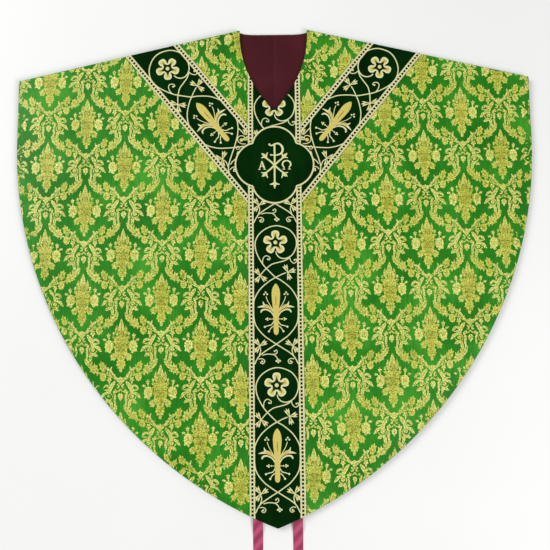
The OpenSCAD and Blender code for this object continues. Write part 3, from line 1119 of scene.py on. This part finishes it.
def draw_lily(bm):
    """A lily with its point up at the origin."""
    spindle = [(0, 0), (0, -8), (0, -17), (0, -28), (0, -45), (0, -72), (0, -95), (0, -112),
               (0, -126), (0, -133), (0, -137)]
    stroke(bm, spindle, [0.6, 14, 21, 24, 22, 16, 15, 13, 14.5, 12, 4], height=1.0, tone=1.0, step=3.5,
           sides=6, blunt=False)
    stroke(bm, [(0, -31), (0, -45), (0, -62)], [0.8, 2.4, 0.8], height=0.3, tone=2.0, base=0.85, step=6,
           blunt=False)
    both_ways(bm, [(6, -78), (10, -72), (16, -66), (24, -61), (33, -60)], [3, 4.5, 6.5, 9, 10],
              height=0.95, tone=0.5, vein=0.8, step=2.5)
    both_ways(bm, [(28, -60), (32, -55), (34, -48)], [6, 5, 1], height=0.9, step=2.5, blunt=False)
    both_ways(bm, [(30, -61), (40, -62), (49, -64)], [7, 5, 0.8], height=0.9, step=2.5, blunt=False)
    both_ways(bm, [(6, -88), (10, -80), (16, -74), (26, -69.5), (36, -71), (40, -77)],
              [2.5, 3.5, 4, 4.5, 5, 4], height=0.9, step=2.2)
    both_ways(bm, [(38, -73), (40, -78)], [4, 5.5], height=0.95, step=2)
    both_ways(bm, [(7, -73), (12, -64), (18, -54), (23, -44), (26, -34)], 2.2, height=0.8, step=2.5)
    for side in (-1, 1):
        for dx, dy in ((0, 4), (4, -1), (-4, -1)):
            knob(bm, side * 27 + dx, -28 + dy, 2.6, 0.9)
        for dx, dy in ((-3, 0), (3, 2.2), (3, -2.2), (7, 0)):
            knob(bm, side * (19 + dx), -95 + dy, 2.3, 0.9, tone=0.1)
        bend = [(side * 6, -101), (side * 12, -110), (side * 21, -112.5)]
        tendril(bm, bend, (side * 29.5, -115.5), 3.0, 2.8)
        tendril(bm, [(side * 6, -113), (side * 13, -118.5)], (side * 19, -127.5), 3.0, 2.8)
    both_ways(bm, [(6, -95), (14, -95)], 2.0, height=0.8)


def draw_crossing(bm, outer=(-1, 1)):
    """Where two vines cross: trefoils outside, curls inside and a budding sprig."""
    both_ways(bm, [(0, 0), (16, -10), (33, -21), (45, -31), (52, -42), (57, -53)], 3.2, step=3)
    for side in outer:
        stroke(bm, [(side * 45, -30), (side * 41, -17), (side * 43, -7)], 2.8, step=2.5)
        trefoil(bm, (side * 43, -4), [(side * 26, 7), (side * 55, 12), (side * 55, -19)])
    for side in (-1, 1):
        curl = [(10, 6), (0, 7), (-6.6, 1), (-2, -6), (4.6, -2.6)]
        ball = (side * 37, -45)
        tendril(bm, [(ball[0] + side * x, ball[1] + y) for x, y in curl], ball)
    stroke(bm, [(-37, -29), (-25, -26), (-9, -27), (-1, -32), (4, -41)], 2.8, step=2)
    tendril(bm, [(-8, -27), (-1, -25), (2.5, -20.5), (0, -15)], (-4.5, -18.5), 2.4)
    for dx, dy in ((4.6, 0), (-4.6, 0), (0, -3.4), (0, 3)):
        knob(bm, 4.6 + dx, -44 + dy, 2.8, 0.9)


def draw_arm_crossing(bm):
    """The arm's lower crossing, with a trefoil on its outer side only."""
    draw_crossing(bm, outer=(-1,))


def draw_arm_foot(bm):
    """Curls and petals that fill the corner between arm, stem and medallion."""
    both_ways(bm, [(99, 385), (89, 375), (79, 364)], 3, step=3)
    both_ways(bm, [(57, 374), (47, 374.5), (37, 380)], 3, step=2.5)
    both_ways(bm, [(52, 383), (47, 387)], [3.4, 2.4], step=2)
    loop = [(99 + 4.6 * math.cos(a), 328 + 4.6 * math.sin(a)) for a in (0, 1.26, 2.51, 3.77, 5.03)]
    both_ways(bm, loop, 2.4, tone=0.5, step=2, closed=True)
    for side in (-1, 1):
        curl = [(77, 339), (88, 339.5), (98, 346), (98.5, 357), (90, 362), (81, 359)]
        tendril(bm, [(side * x, y) for x, y in curl], (side * 82, 353), 2.4)
        knob(bm, side * 89, 350, 5, 0.9, tone=0.8)
        petal(bm, (side * 86, 350), (side * 66, 357))
        petal(bm, (side * 76, 362), (side * 79, 385))
        petal(bm, (side * 62, 372), (side * 50, 352))


def draw_rose_vines(bm):
    """The ring round a rose, its stem with a trefoil, and two curls."""
    ring = [(1, -131), (4, -141), (13, -149), (26, -151), (40, -145), (50, -133), (56, -113.5),
            (53.5, -94), (40, -75), (21, -65), (1, -61.4), (-19.5, -66.6), (-40, -80.5), (-52, -100),
            (-53.5, -120), (-47.6, -141), (-33, -167), (-16, -186), (0, -202)]
    stroke(bm, ring, 3.2, step=3)
    stroke(bm, [(38, -148), (26, -156), (9, -161), (-9, -166), (-23, -176), (-33, -186), (-41, -196)],
           3.0, step=3)
    trefoil(bm, (-41, -196), [(-26, -209), (-52, -181), (-52, -212)])
    bend = [(-34, -166), (-34, -155), (-30, -146), (-23, -143), (-15, -148), (-15.5, -154)]
    tendril(bm, bend, (-20, -152.5))
    tendril(bm, [(38, -148), (40, -157), (48.5, -164), (56, -158.6), (55, -153)], (50.5, -155))


def draw_lily_vines(bm):
    """The pointed oval round a lily, with a trefoil at its upper end."""
    both_ways(bm, [(0, 0), (16, -9), (40, -29.5), (55, -54), (58.5, -72), (57.5, -111), (50, -132),
                   (33, -153), (16, -166), (0, -177)], 3.2, step=3)
    stroke(bm, [(0, 0), (13, 7), (28, 13)], 3.0, step=3)
    trefoil(bm, (32, 14), [(24, 33), (55, 21), (38, -7)])


LEFT_ARM = Matrix.Translation((0, ARM_FOOT_Y, 0)) @ Matrix.Rotation(ARM_LEAN, 4, "Z")
RIGHT_ARM = Matrix.Diagonal((-1, 1, 1, 1)) @ LEFT_ARM
TOP_CROSSING = 174.5
NEXT_CROSSING = -200
LAST_CROSSING = -574
STRETCH = 0.988
ARM_ROSE_S = 463
ARM_ROSE_STRETCH = 1.11
ARM_LILY_S = 336.5
ARM_OVAL_S = 357.5
ARM_CROSSING_S = 172.5


def column_places(tops, lift=0.0, stretch=STRETCH):
    return [at(0, top + lift, 1, stretch) for top in tops]


def arm_places(s, scale_x, scale_y):
    return [LEFT_ARM @ at(0, s, scale_x, scale_y), RIGHT_ARM @ at(0, s, scale_x, scale_y)]


def drawing(draw, places):
    bm = new_sketch()
    draw(bm)
    copies(bm, places)
    return bm


def gather(parts):
    """Puts several drawings together in one."""
    whole = new_sketch()
    for part in parts:
        scratch = bpy.data.meshes.new("scratch")
        part.to_mesh(scratch)
        part.free()
        whole.from_mesh(scratch)
        bpy.data.meshes.remove(scratch)
    return whole


def stitch_piece(name, parts, gap, face, motion, stands_for, material):
    """Trims drawings to their edges, lays them on the front or back and makes a piece."""
    bm = gather(parts)
    if gap is not None:
        trim(bm, gap)
    bmesh.ops.translate(bm, verts=bm.verts, vec=(0, 0, FRONT_VELVET_Z))
    if face == "back":
        to_back(bm, FRONT_VELVET_Z, BACK_VELVET_Z)
    made = piece(name, bm, material, front_rise if face == "front" else None)
    if stands_for:
        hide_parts(*stands_for)
    if motion == "fold":
        fold(made)
    else:
        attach(made, motion)
    return made


def column_gap(edge):
    def gap(x, y):
        return np.minimum.reduce([edge(x, y) - 1.5, lobes_gap(x, y) - 2, 59.5 - np.abs(x)])
    return gap


def arm_gap(edge):
    def gap(x, y):
        right = np.abs(x)
        across = right * math.cos(ARM_LEAN) - (y - ARM_FOOT_Y) * math.sin(ARM_LEAN)
        return np.minimum.reduce([
            edge(x, y) - 1.5, lobes_gap(x, y) - 2, right - BAND_HALF - 0.5, 57 - np.abs(across),
        ])
    return gap


def make_column_embroidery(face, material):
    edge = edge_of(face)
    tops = [TOP_CROSSING, NEXT_CROSSING]
    roses = drawing(draw_rose, column_places(tops, -105.7, 1))
    lilies = drawing(draw_lily, column_places(tops, -202 * STRETCH - 15.4))
    vines = [
        drawing(draw_crossing, column_places(tops + [LAST_CROSSING])),
        drawing(draw_rose_vines, column_places(tops)),
        drawing(draw_lily_vines, column_places(tops, -202 * STRETCH)),
    ]
    stitch_piece(face + "_stitched_roses", [roses], None, face, face, [face + "_roses"], material)
    stitch_piece(face + "_stitched_lilies", [lilies], None, face, face, [face + "_lilies"], material)
    stitch_piece(face + "_stitched_vines", vines, column_gap(edge), face, face, [face + "_vines"], material)


def make_stem_embroidery(face, material):
    edge = edge_of(face)
    top = 552.7
    parts = [
        drawing(draw_rose, column_places([447], 0, 1)),
        drawing(draw_rose_vines, column_places([top])),
    ]
    if face == "back":
        parts.append(drawing(draw_crossing, column_places([top])))
        parts.append(drawing(draw_lily_vines, column_places([top + 175])))
        parts.append(drawing(draw_lily, column_places([top + 175 - 15.4])))
    motion = "fold" if face == "front" else "back"
    stitch_piece(face + "_stitched_stem", parts, column_gap(edge), face, motion, [], material)


def make_arm_embroidery(face, material):
    edge = edge_of(face)
    motion = "fold" if face == "front" else "back"
    roses = drawing(draw_rose, arm_places(ARM_ROSE_S, 1, 1))
    stands_for = ["arm_roses"] if face == "front" else []
    stitch_piece(face + "_stitched_arm_roses", [roses], None, face, "back", stands_for, material)
    lilies = drawing(draw_lily, arm_places(ARM_LILY_S, 1.02, 1.02))
    stands_for = ["arm_lilies"] if face == "front" else []
    stitch_piece(face + "_stitched_arm_lilies", [lilies], None, face, motion, stands_for, material)
    vines = [
        drawing(draw_rose_vines, arm_places(ARM_ROSE_S + 107 * ARM_ROSE_STRETCH, 1.03, ARM_ROSE_STRETCH)),
        drawing(draw_lily_vines, arm_places(ARM_OVAL_S, 1.0, 1.045)),
        drawing(draw_arm_crossing, arm_places(ARM_CROSSING_S, 1.03, 1.04)),
        drawing(draw_arm_foot, [at(0, 0)]),
    ]
    stitch_piece(face + "_stitched_arm_vines", vines, arm_gap(edge), face, motion, [], material)


def draw_letters(bm):
    """A chi crossed by a rho, with an alpha and an omega, each arm ending in a leaf."""
    for x in (-1, 1):
        for y, reach in ((1, 33), (-1, 31)):
            run = [(0, 0), (x * 12, y * 11.5), (x * 25, y * 22)]
            stroke(bm, run, [5.2, 5.0, 4.6], height=0.95, tone=0.25, step=3)
            root = (x * 22, y * 19.5)
            stroke(bm, [root, (x * 28.5, y * 27.5), (x * 35, y * reach)],
                   [5, 9, 1.2], height=0.95, tone=0.4, step=2.5, blunt=False)
            stroke(bm, [root, (x * 29, y * 22), (x * 36.5, y * 19.5)], [4, 4.4, 2], height=0.9, step=2.5)
            stroke(bm, [root, (x * 21.5, y * 28), (x * 18, y * 36)], [4, 4.4, 2], height=0.9, step=2.5)
    stroke(bm, [(0, 60), (0.5, 20), (0, -20), (0, -52)], [5.6, 5.2, 5.2, 4.8], height=1.0, tone=0.25, step=4)
    stroke(bm, [(0, -44), (0, -54), (0, -65)], [5, 9.5, 1], height=0.95, tone=0.4, step=2.5, blunt=False)
    both_ways(bm, [(0, -47), (6.5, -52), (13.5, -53)], [4, 4.6, 2.4], height=0.9, step=2.2)
    stroke(bm, [(-14, 58), (-12.5, 55), (-7, 54.5), (0, 58), (8, 60), (16, 57), (21.5, 49), (22, 40),
                (17, 32), (8, 28.5), (0, 27.5), (-8, 28.5)],
           [4, 3.6, 3.8, 4.2, 4.6, 5.6, 6.4, 6.2, 5.4, 4.2, 3.6, 3], height=0.95, step=2)
    knob(bm, -13.5, 57.5, 3.0, 0.9)
    knob(bm, -9.5, 28.3, 2.6, 0.9)
    stroke(bm, [(-34.0, 12), (-37, 1), (-40.5, -10)], [2.2, 2.8, 2.8], height=0.85, step=3)
    stroke(bm, [(-34.2, 12), (-31, 1), (-27, -10)], [3.0, 4.8, 4.8], height=0.9, step=3)
    stroke(bm, [(-39, -3), (-30, -3)], 2.2, height=0.8, step=3)
    stroke(bm, [(-44.5, -11.5), (-37.5, -11.5)], 2.8, height=0.85, step=3)
    stroke(bm, [(-30.5, -11.5), (-23, -11.5)], 2.8, height=0.85, step=3)
    stroke(bm, [(26, -9), (25.5, -6), (21.5, 1), (24, 9), (32.5, 12.5), (41, 9), (43.5, 1),
                (39.5, -6), (39, -9)], [3, 3.2, 4.8, 4.8, 3.4, 4.8, 4.8, 3.2, 3], height=0.9, step=2)
    stroke(bm, [(21, -11), (29, -11)], 3.2, height=0.85, step=3)
    stroke(bm, [(36, -11), (44, -11)], 3.2, height=0.85, step=3)


def make_christogram(material):
    letters = drawing(draw_letters, [at(0, 279.8)])
    stitch_piece("stitched_christogram", [letters], None, "front", "front", ["christogram"], material)


def draw_cross(bm):
    """A plain Latin cross with spread ends."""
    stroke(bm, [(0, 56), (0, 20), (0, -20), (0, -56)], [9, 6.5, 6.5, 9], height=1.0, tone=0.3, step=5)
    stroke(bm, [(-39, 14), (-12, 14), (12, 14), (39, 14)], [9, 6.5, 6.5, 9], height=1.0, tone=0.3, step=5)
    for x, y in ((0, 56), (0, -56), (39, 14), (-39, 14)):
        knob(bm, x, y, 5.5, 1.0, tone=0.8)
    knob(bm, 0, 14, 6.5, 1.05, tone=0.8)


def make_cross(material):
    cross = drawing(draw_cross, [at(0, MEDALLION_Y)])
    stitch_piece("stitched_cross", [cross], None, "back", "back", ["back_cross"], material)


# ---- Damask figures ----

def leaf(bm, points, widths, tone=0.3, teeth=0.0, step=4.0):
    """A woven leaf, scarcely raised."""
    stroke(bm, points, widths, height=0.3, tone=tone, sides=2, step=step, blunt=False, teeth=teeth,
           sink=-0.05)


def leaves(bm, points, widths, tone=0.3, teeth=0.0, step=4.0):
    leaf(bm, points, widths, tone, teeth, step)
    leaf(bm, [(-x, y) for x, y in points], widths, tone, teeth, step)


def lobed(bm, x, y, width, length, lobes=7, notch=0.3, tone=0.3, turn=0.0):
    """A leaf or flower cut into pointed lobes, one of them towards its tip."""
    made = bmesh.ops.create_circle(bm, cap_ends=True, cap_tris=True, segments=2 * lobes, radius=1)["verts"]
    spin = Matrix.Rotation(turn, 2)
    across = bm.verts.layers.float["across"]
    along = bm.verts.layers.float["along"]
    tones = bm.verts.layers.float["tone"]
    for v in made:
        rim = v.co.to_2d().length > 0.5
        point = round(math.atan2(v.co.x, v.co.y) * lobes / math.pi) % 2 == 0
        reach = 1 if point else 1 - notch
        place = spin @ Vector((v.co.x * reach * width / 2, v.co.y * reach * length / 2))
        v.co = (x + place.x, y + place.y, 0.05 if rim else 0.35)
        v[across] = 1.0 if rim else 0.0
        v[along] = (y + place.y) / 1000
        v[tones] = tone


def lobed_pair(bm, x, y, width, length, lobes=7, notch=0.3, tone=0.3, turn=0.0):
    lobed(bm, x, y, width, length, lobes, notch, tone, turn)
    lobed(bm, -x, y, width, length, lobes, notch, tone, -turn)


def shades(bm, points, width):
    """Ground thread showing as a thin line on both sides of a figure."""
    for side in (-1, 1):
        stroke(bm, [(side * x, y) for x, y in points], width, height=0.1, tone=1.6, sides=2, step=6,
               base=0.35, blunt=False, sink=0.0)


def draw_palmette(bm):
    """The tall flower head, from its stem's tip up to its bud."""
    lobed(bm, 0, 5, 9, 14, 5, 0.25, 0.25)
    lobed(bm, 0, 22, 27, 32, 9, 0.25, 0.5, math.pi)
    leaf(bm, [(0, 32), (0, 40), (0, 50)], [16, 20, 26], 0.5)
    lobed_pair(bm, 17, 43, 19, 31, 7, 0.3, 0.4, -2.45)
    leaves(bm, [(16, 48), (23, 46), (30, 43)], [8, 7, 0.6], 0.3, 0.2)
    lobed(bm, 0, 67, 38, 56, 12, 0.13, 0.6)
    shades(bm, [(4, 76), (10, 77), (15, 73)], 1.3)
    shades(bm, [(3, 58), (8, 61), (11, 56)], 1.2)
    shades(bm, [(5, 46), (10, 44), (13, 38)], 1.2)
    leaves(bm, [(5, 86), (12, 90), (19, 94), (24, 95)], [10, 12, 9, 0.6], 0.45, 0.2)
    leaves(bm, [(8, 80), (15, 83), (21, 83)], [8, 8, 0.6], 0.4)
    lobed(bm, 0, 104, 26, 34, 9, 0.2, 0.55)
    leaves(bm, [(7, 98), (12, 106), (13, 116), (11.5, 128)], [6, 7, 6, 0.6], 0.35)
    shades(bm, [(4, 112), (7, 104), (5, 96)], 1.1)
    leaves(bm, [(3, 112), (7, 118), (8, 124)], [6, 5, 0.6], 0.3)
    leaf(bm, [(0, 110), (0, 120), (0, 130), (0, 145.5)], [7, 13, 11.5, 0.6], 0.25)
    lobed_pair(bm, 31.7, 71, 23.5, 34, 11, 0.13, 0.2)
    lobed_pair(bm, 30, 55, 9, 9, 5, 0.3, 0.2, math.pi)
    lobed_pair(bm, 39, 58, 7, 8, 5, 0.3, 0.15, math.pi)
    leaves(bm, [(22, 84), (21, 74), (22, 62)], [2.5, 4, 2], 0.5)
    lobed_pair(bm, 19.5, 104, 8, 12, 5, 0.4, 0.15)
    leaves(bm, [(32, 86), (32, 91), (33, 96)], [3, 3, 4], 0.2)
    lobed_pair(bm, 33, 99, 12, 15, 5, 0.5, 0.15)
    lobed_pair(bm, 43, 88, 8, 12, 5, 0.4, 0.1, -1.25)


def draw_garland(bm):
    """From the crown flower out and up on both sides to the neighbouring figures."""
    lobed(bm, 0, -21, 22, 19, 7, 0.3, 0.2)
    leaf(bm, [(0, -24), (0, -30), (0, -36)], [9, 6, 0.8], 0.25)
    leaves(bm, [(6, -20), (13, -15), (19, -7), (25, 2), (33, 10)], [5, 5.5, 5, 5.5, 4], 0.15)
    leaves(bm, [(17, -10), (14, -4)], [5, 0.6], 0.1)
    leaves(bm, [(28, 4), (25.5, 10), (23, 16)], [5, 4.5, 0.6], 0.1)
    lobed_pair(bm, 34, 9, 9, 12, 5, 0.35, 0.2, -0.6)
    leaves(bm, [(11, -20), (24, -12), (38, -6), (52, -3), (62, 2)], [2.5, 3, 3, 4, 5], 0.35, 0, 7)
    leaves(bm, [(24, -9), (29, -4), (30, 3)], [4, 5, 1], 0.35, 0.3)
    lobed_pair(bm, 29.6, -19, 15, 17, 5, 0.42, 0.25, math.pi)
    leaves(bm, [(29.6, -24), (29.6, -34)], [6, 0.6], 0.2)
    lobed_pair(bm, 48, 15, 18.5, 35, 7, 0.3, 0.5, -0.28)
    leaves(bm, [(46, 4), (41, 12), (39, 22)], [5, 5, 0.6], 0.35)
    lobed_pair(bm, 46.5, -12, 19, 25, 9, 0.18, 0.4, math.pi)
    leaves(bm, [(37, -7), (35, -1), (33, 4)], [4, 4, 1], 0.3)
    lobed_pair(bm, 68, 9, 22, 34, 7, 0.42, 0.35, -0.12)
    leaves(bm, [(66, 4), (74, 4), (83, 4)], [8, 10, 0.6], 0.35, 0.2)
    leaves(bm, [(62, 0), (61, -5), (63, -9)], [5, 4, 0.6], 0.3)
    leaves(bm, [(68, 6), (78, 13), (87, 23), (92, 32), (96, 37)], [8, 13, 15, 9, 0.6], 0.3, 0.24)
    leaves(bm, [(80, 16), (77, 25), (75, 31)], [7, 5, 0.6], 0.3)
    leaves(bm, [(90, 34), (90, 42), (88, 52), (91, 66)], [5, 4.5, 4.5, 4], 0.15, 0, 7)


def draw_cartouche(bm):
    """The open frame of scrolls under the crown flower, with its pendant bud."""
    leaves(bm, [(14, -23), (19, -30), (24, -38), (28, -48), (29, -58)], [3, 9, 10, 8, 7], 0.15, 0, 5)
    leaves(bm, [(28, -42), (33, -37), (38, -36), (43, -40), (48, -47)], [5, 6, 6, 7, 0.6], 0.15)
    leaves(bm, [(29, -46), (36, -48), (46, -47)], [6, 5, 1], 0.2)
    leaves(bm, [(29, -53), (36, -55), (44, -59), (49, -66), (54, -70)], [6, 6, 9, 6, 0.6], 0.15)
    lobed_pair(bm, 30, -64, 13, 13, 7, 0.25, 0.35)
    leaves(bm, [(27, -56), (21, -62), (22, -70), (30, -74), (38, -71), (41, -65)], 2.6, 0.2, 0, 5)
    leaves(bm, [(24, -78), (31, -76), (38, -79), (43, -82)], [8, 9, 9, 3], 0.2, 0.2)
    leaves(bm, [(19, -50), (15.5, -60), (14, -70), (16, -82)], [4, 5, 5, 5], 0.1, 0, 6)
    leaves(bm, [(25, -76), (24, -86), (22, -96)], [8, 9, 6], 0.25, 0.15)
    leaves(bm, [(9, -32), (4, -36), (5.5, -42), (10, -40)], [4, 4, 3.5, 3], 0.15, 0, 4)
    lobed_pair(bm, 12.5, -50, 9, 12, 5, 0.3, 0.35)
    leaves(bm, [(0, -44), (4, -50), (9, -52)], [2.5, 4, 1], 0.3)
    lobed(bm, 0, -64, 16, 18, 7, 0.25, 0.15, math.pi)
    leaf(bm, [(0, -58), (0, -66), (0, -77)], [8, 11, 0.6], 0.15)


def figure_places(side):
    """Half-drop repeat: every other column of figures hangs half a repeat lower."""
    places = []
    for j in range(7):
        x = FIGURE_FIRST_X + FIGURE_PITCH_X * j
        top = LEFT_FIGURES_Y if side < 0 else RIGHT_FIGURES_Y
        if j % 2 == 1:
            top += FIGURE_REPEAT_Y / 2
        for k in range(-2, 6):
            y = top - FIGURE_REPEAT_Y * k
            near = front_gap(np.array([x]), np.array([y]))[0]
            if near > -150 and y > hem_y(min(x, 690)) - 160:
                places.append(at(side * x, y, 1, 0.96))
    return places


def draw_figure(bm):
    draw_palmette(bm)
    draw_garland(bm)
    draw_cartouche(bm)
    bm.normal_update()
    bmesh.ops.reverse_faces(bm, faces=[f for f in bm.faces if f.normal.z < 0])


def make_figures(face, side, material):
    """The gold figures of one half, stopped at its edges and left out under the velvet."""
    hand = "right" if side > 0 else "left"
    drawn = side if face == "front" else -side
    bm = drawing(draw_figure, figure_places(drawn))
    edge = edge_of(face)

    def gap(x, y):
        side_ways = drawn * x * math.cos(ARM_LEAN) - (y - ARM_FOOT_Y) * math.sin(ARM_LEAN)
        upwards = drawn * x * math.sin(ARM_LEAN) + (y - ARM_FOOT_Y) * math.cos(ARM_LEAN)
        clear_of_arm = np.maximum(np.abs(side_ways) - ARM_BRAID_X, -upwards)
        return np.minimum.reduce([edge(x, y) - 0.7, drawn * x - 62, clear_of_arm, lobes_gap(x, y) + 3])

    trim(bm, gap)
    inside = gap(np.array([v.co.x for v in bm.verts]), np.array([v.co.y for v in bm.verts]))
    stray = [v for v, depth in zip(bm.verts, inside) if depth < -1]
    bmesh.ops.delete(bm, geom=stray, context="VERTS")
    bmesh.ops.translate(bm, verts=bm.verts, vec=(0, 0, FRONT_CLOTH_Z))
    if face == "back":
        to_back(bm, FRONT_CLOTH_Z, BACK_CLOTH_Z)
    made = piece(face + "_gold_figures_" + hand, bm, material,
                 front_rise if face == "front" else None)
    if face == "front":
        fold(made)
    else:
        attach(made, "back")


# ---- Floor and light ----

def make_floor(material):
    bm = bmesh.new()
    bmesh.ops.create_grid(bm, x_segments=8, y_segments=8, size=6)
    bmesh.ops.translate(bm, verts=bm.verts, vec=(0, 0, -0.0004))
    mesh = bpy.data.meshes.new("floor")
    bm.to_mesh(mesh)
    bm.free()
    mesh.materials.append(material)
    floor = bpy.data.objects.new("floor", mesh)
    bpy.context.scene.collection.objects.link(floor)


def soft_light(name, place, target, size, power):
    data = bpy.data.lights.new(name, "AREA")
    data.size = size
    data.energy = power
    light = bpy.data.objects.new(name, data)
    bpy.context.scene.collection.objects.link(light)
    light.location = place
    aim = Vector(target) - Vector(place)
    light.rotation_mode = "QUATERNION"
    light.rotation_quaternion = aim.to_track_quat("-Z", "Y")


def make_lights():
    soft_light("left softbox", (-3.2, 1.8, 2.8), (0, 0, 0), 2.2, 108)
    soft_light("hem softbox", (2.9, -2.3, 2.8), (0, -0.1, 0), 2.2, 106)
    world = bpy.data.worlds.new("studio")
    world.use_nodes = True
    background = world.node_tree.nodes["Background"]
    background.inputs["Color"].default_value = (1, 1, 1, 1)
    background.inputs["Strength"].default_value = 0.5
    bpy.context.scene.world = world
    bpy.context.scene.view_settings.view_transform = "Standard"


# ---- Everything together ----

make_camera()
satin_ribbon = ribbon_satin()
for hand_side in (-1, 1):
    make_ribbon(hand_side, satin_ribbon)
make_patches(satin_ribbon)

green_ground = brocade_ground()
gold_figure = brocade_figure()
burgundy = lining()
for hand_side in (-1, 1):
    make_brocade(hand_side, green_ground)
    make_lining(hand_side, burgundy)
    make_shoulder_seam(hand_side, green_ground)
make_canvases(canvas())
make_velvets(velvet())
# The darker colour of each pair is painted shade for the grooves between the plies.
make_braids(twisted_thread("cream ladder braid", 2.2, (0.82, 0.80, 0.47), (0.46, 0.40, 0.15)))
make_cords(twisted_thread("gold twisted cord", 4.0, (0.82, 0.80, 0.46), (0.46, 0.40, 0.14)))

stitching = embroidery()
for whole_face in ("front", "back"):
    make_column_embroidery(whole_face, stitching)
    make_stem_embroidery(whole_face, stitching)
    make_arm_embroidery(whole_face, stitching)
make_christogram(stitching)
make_cross(stitching)

for whole_face in ("front", "back"):
    for hand_side in (-1, 1):
        make_figures(whole_face, hand_side, gold_figure)

make_floor(floor_paint())
make_lights()
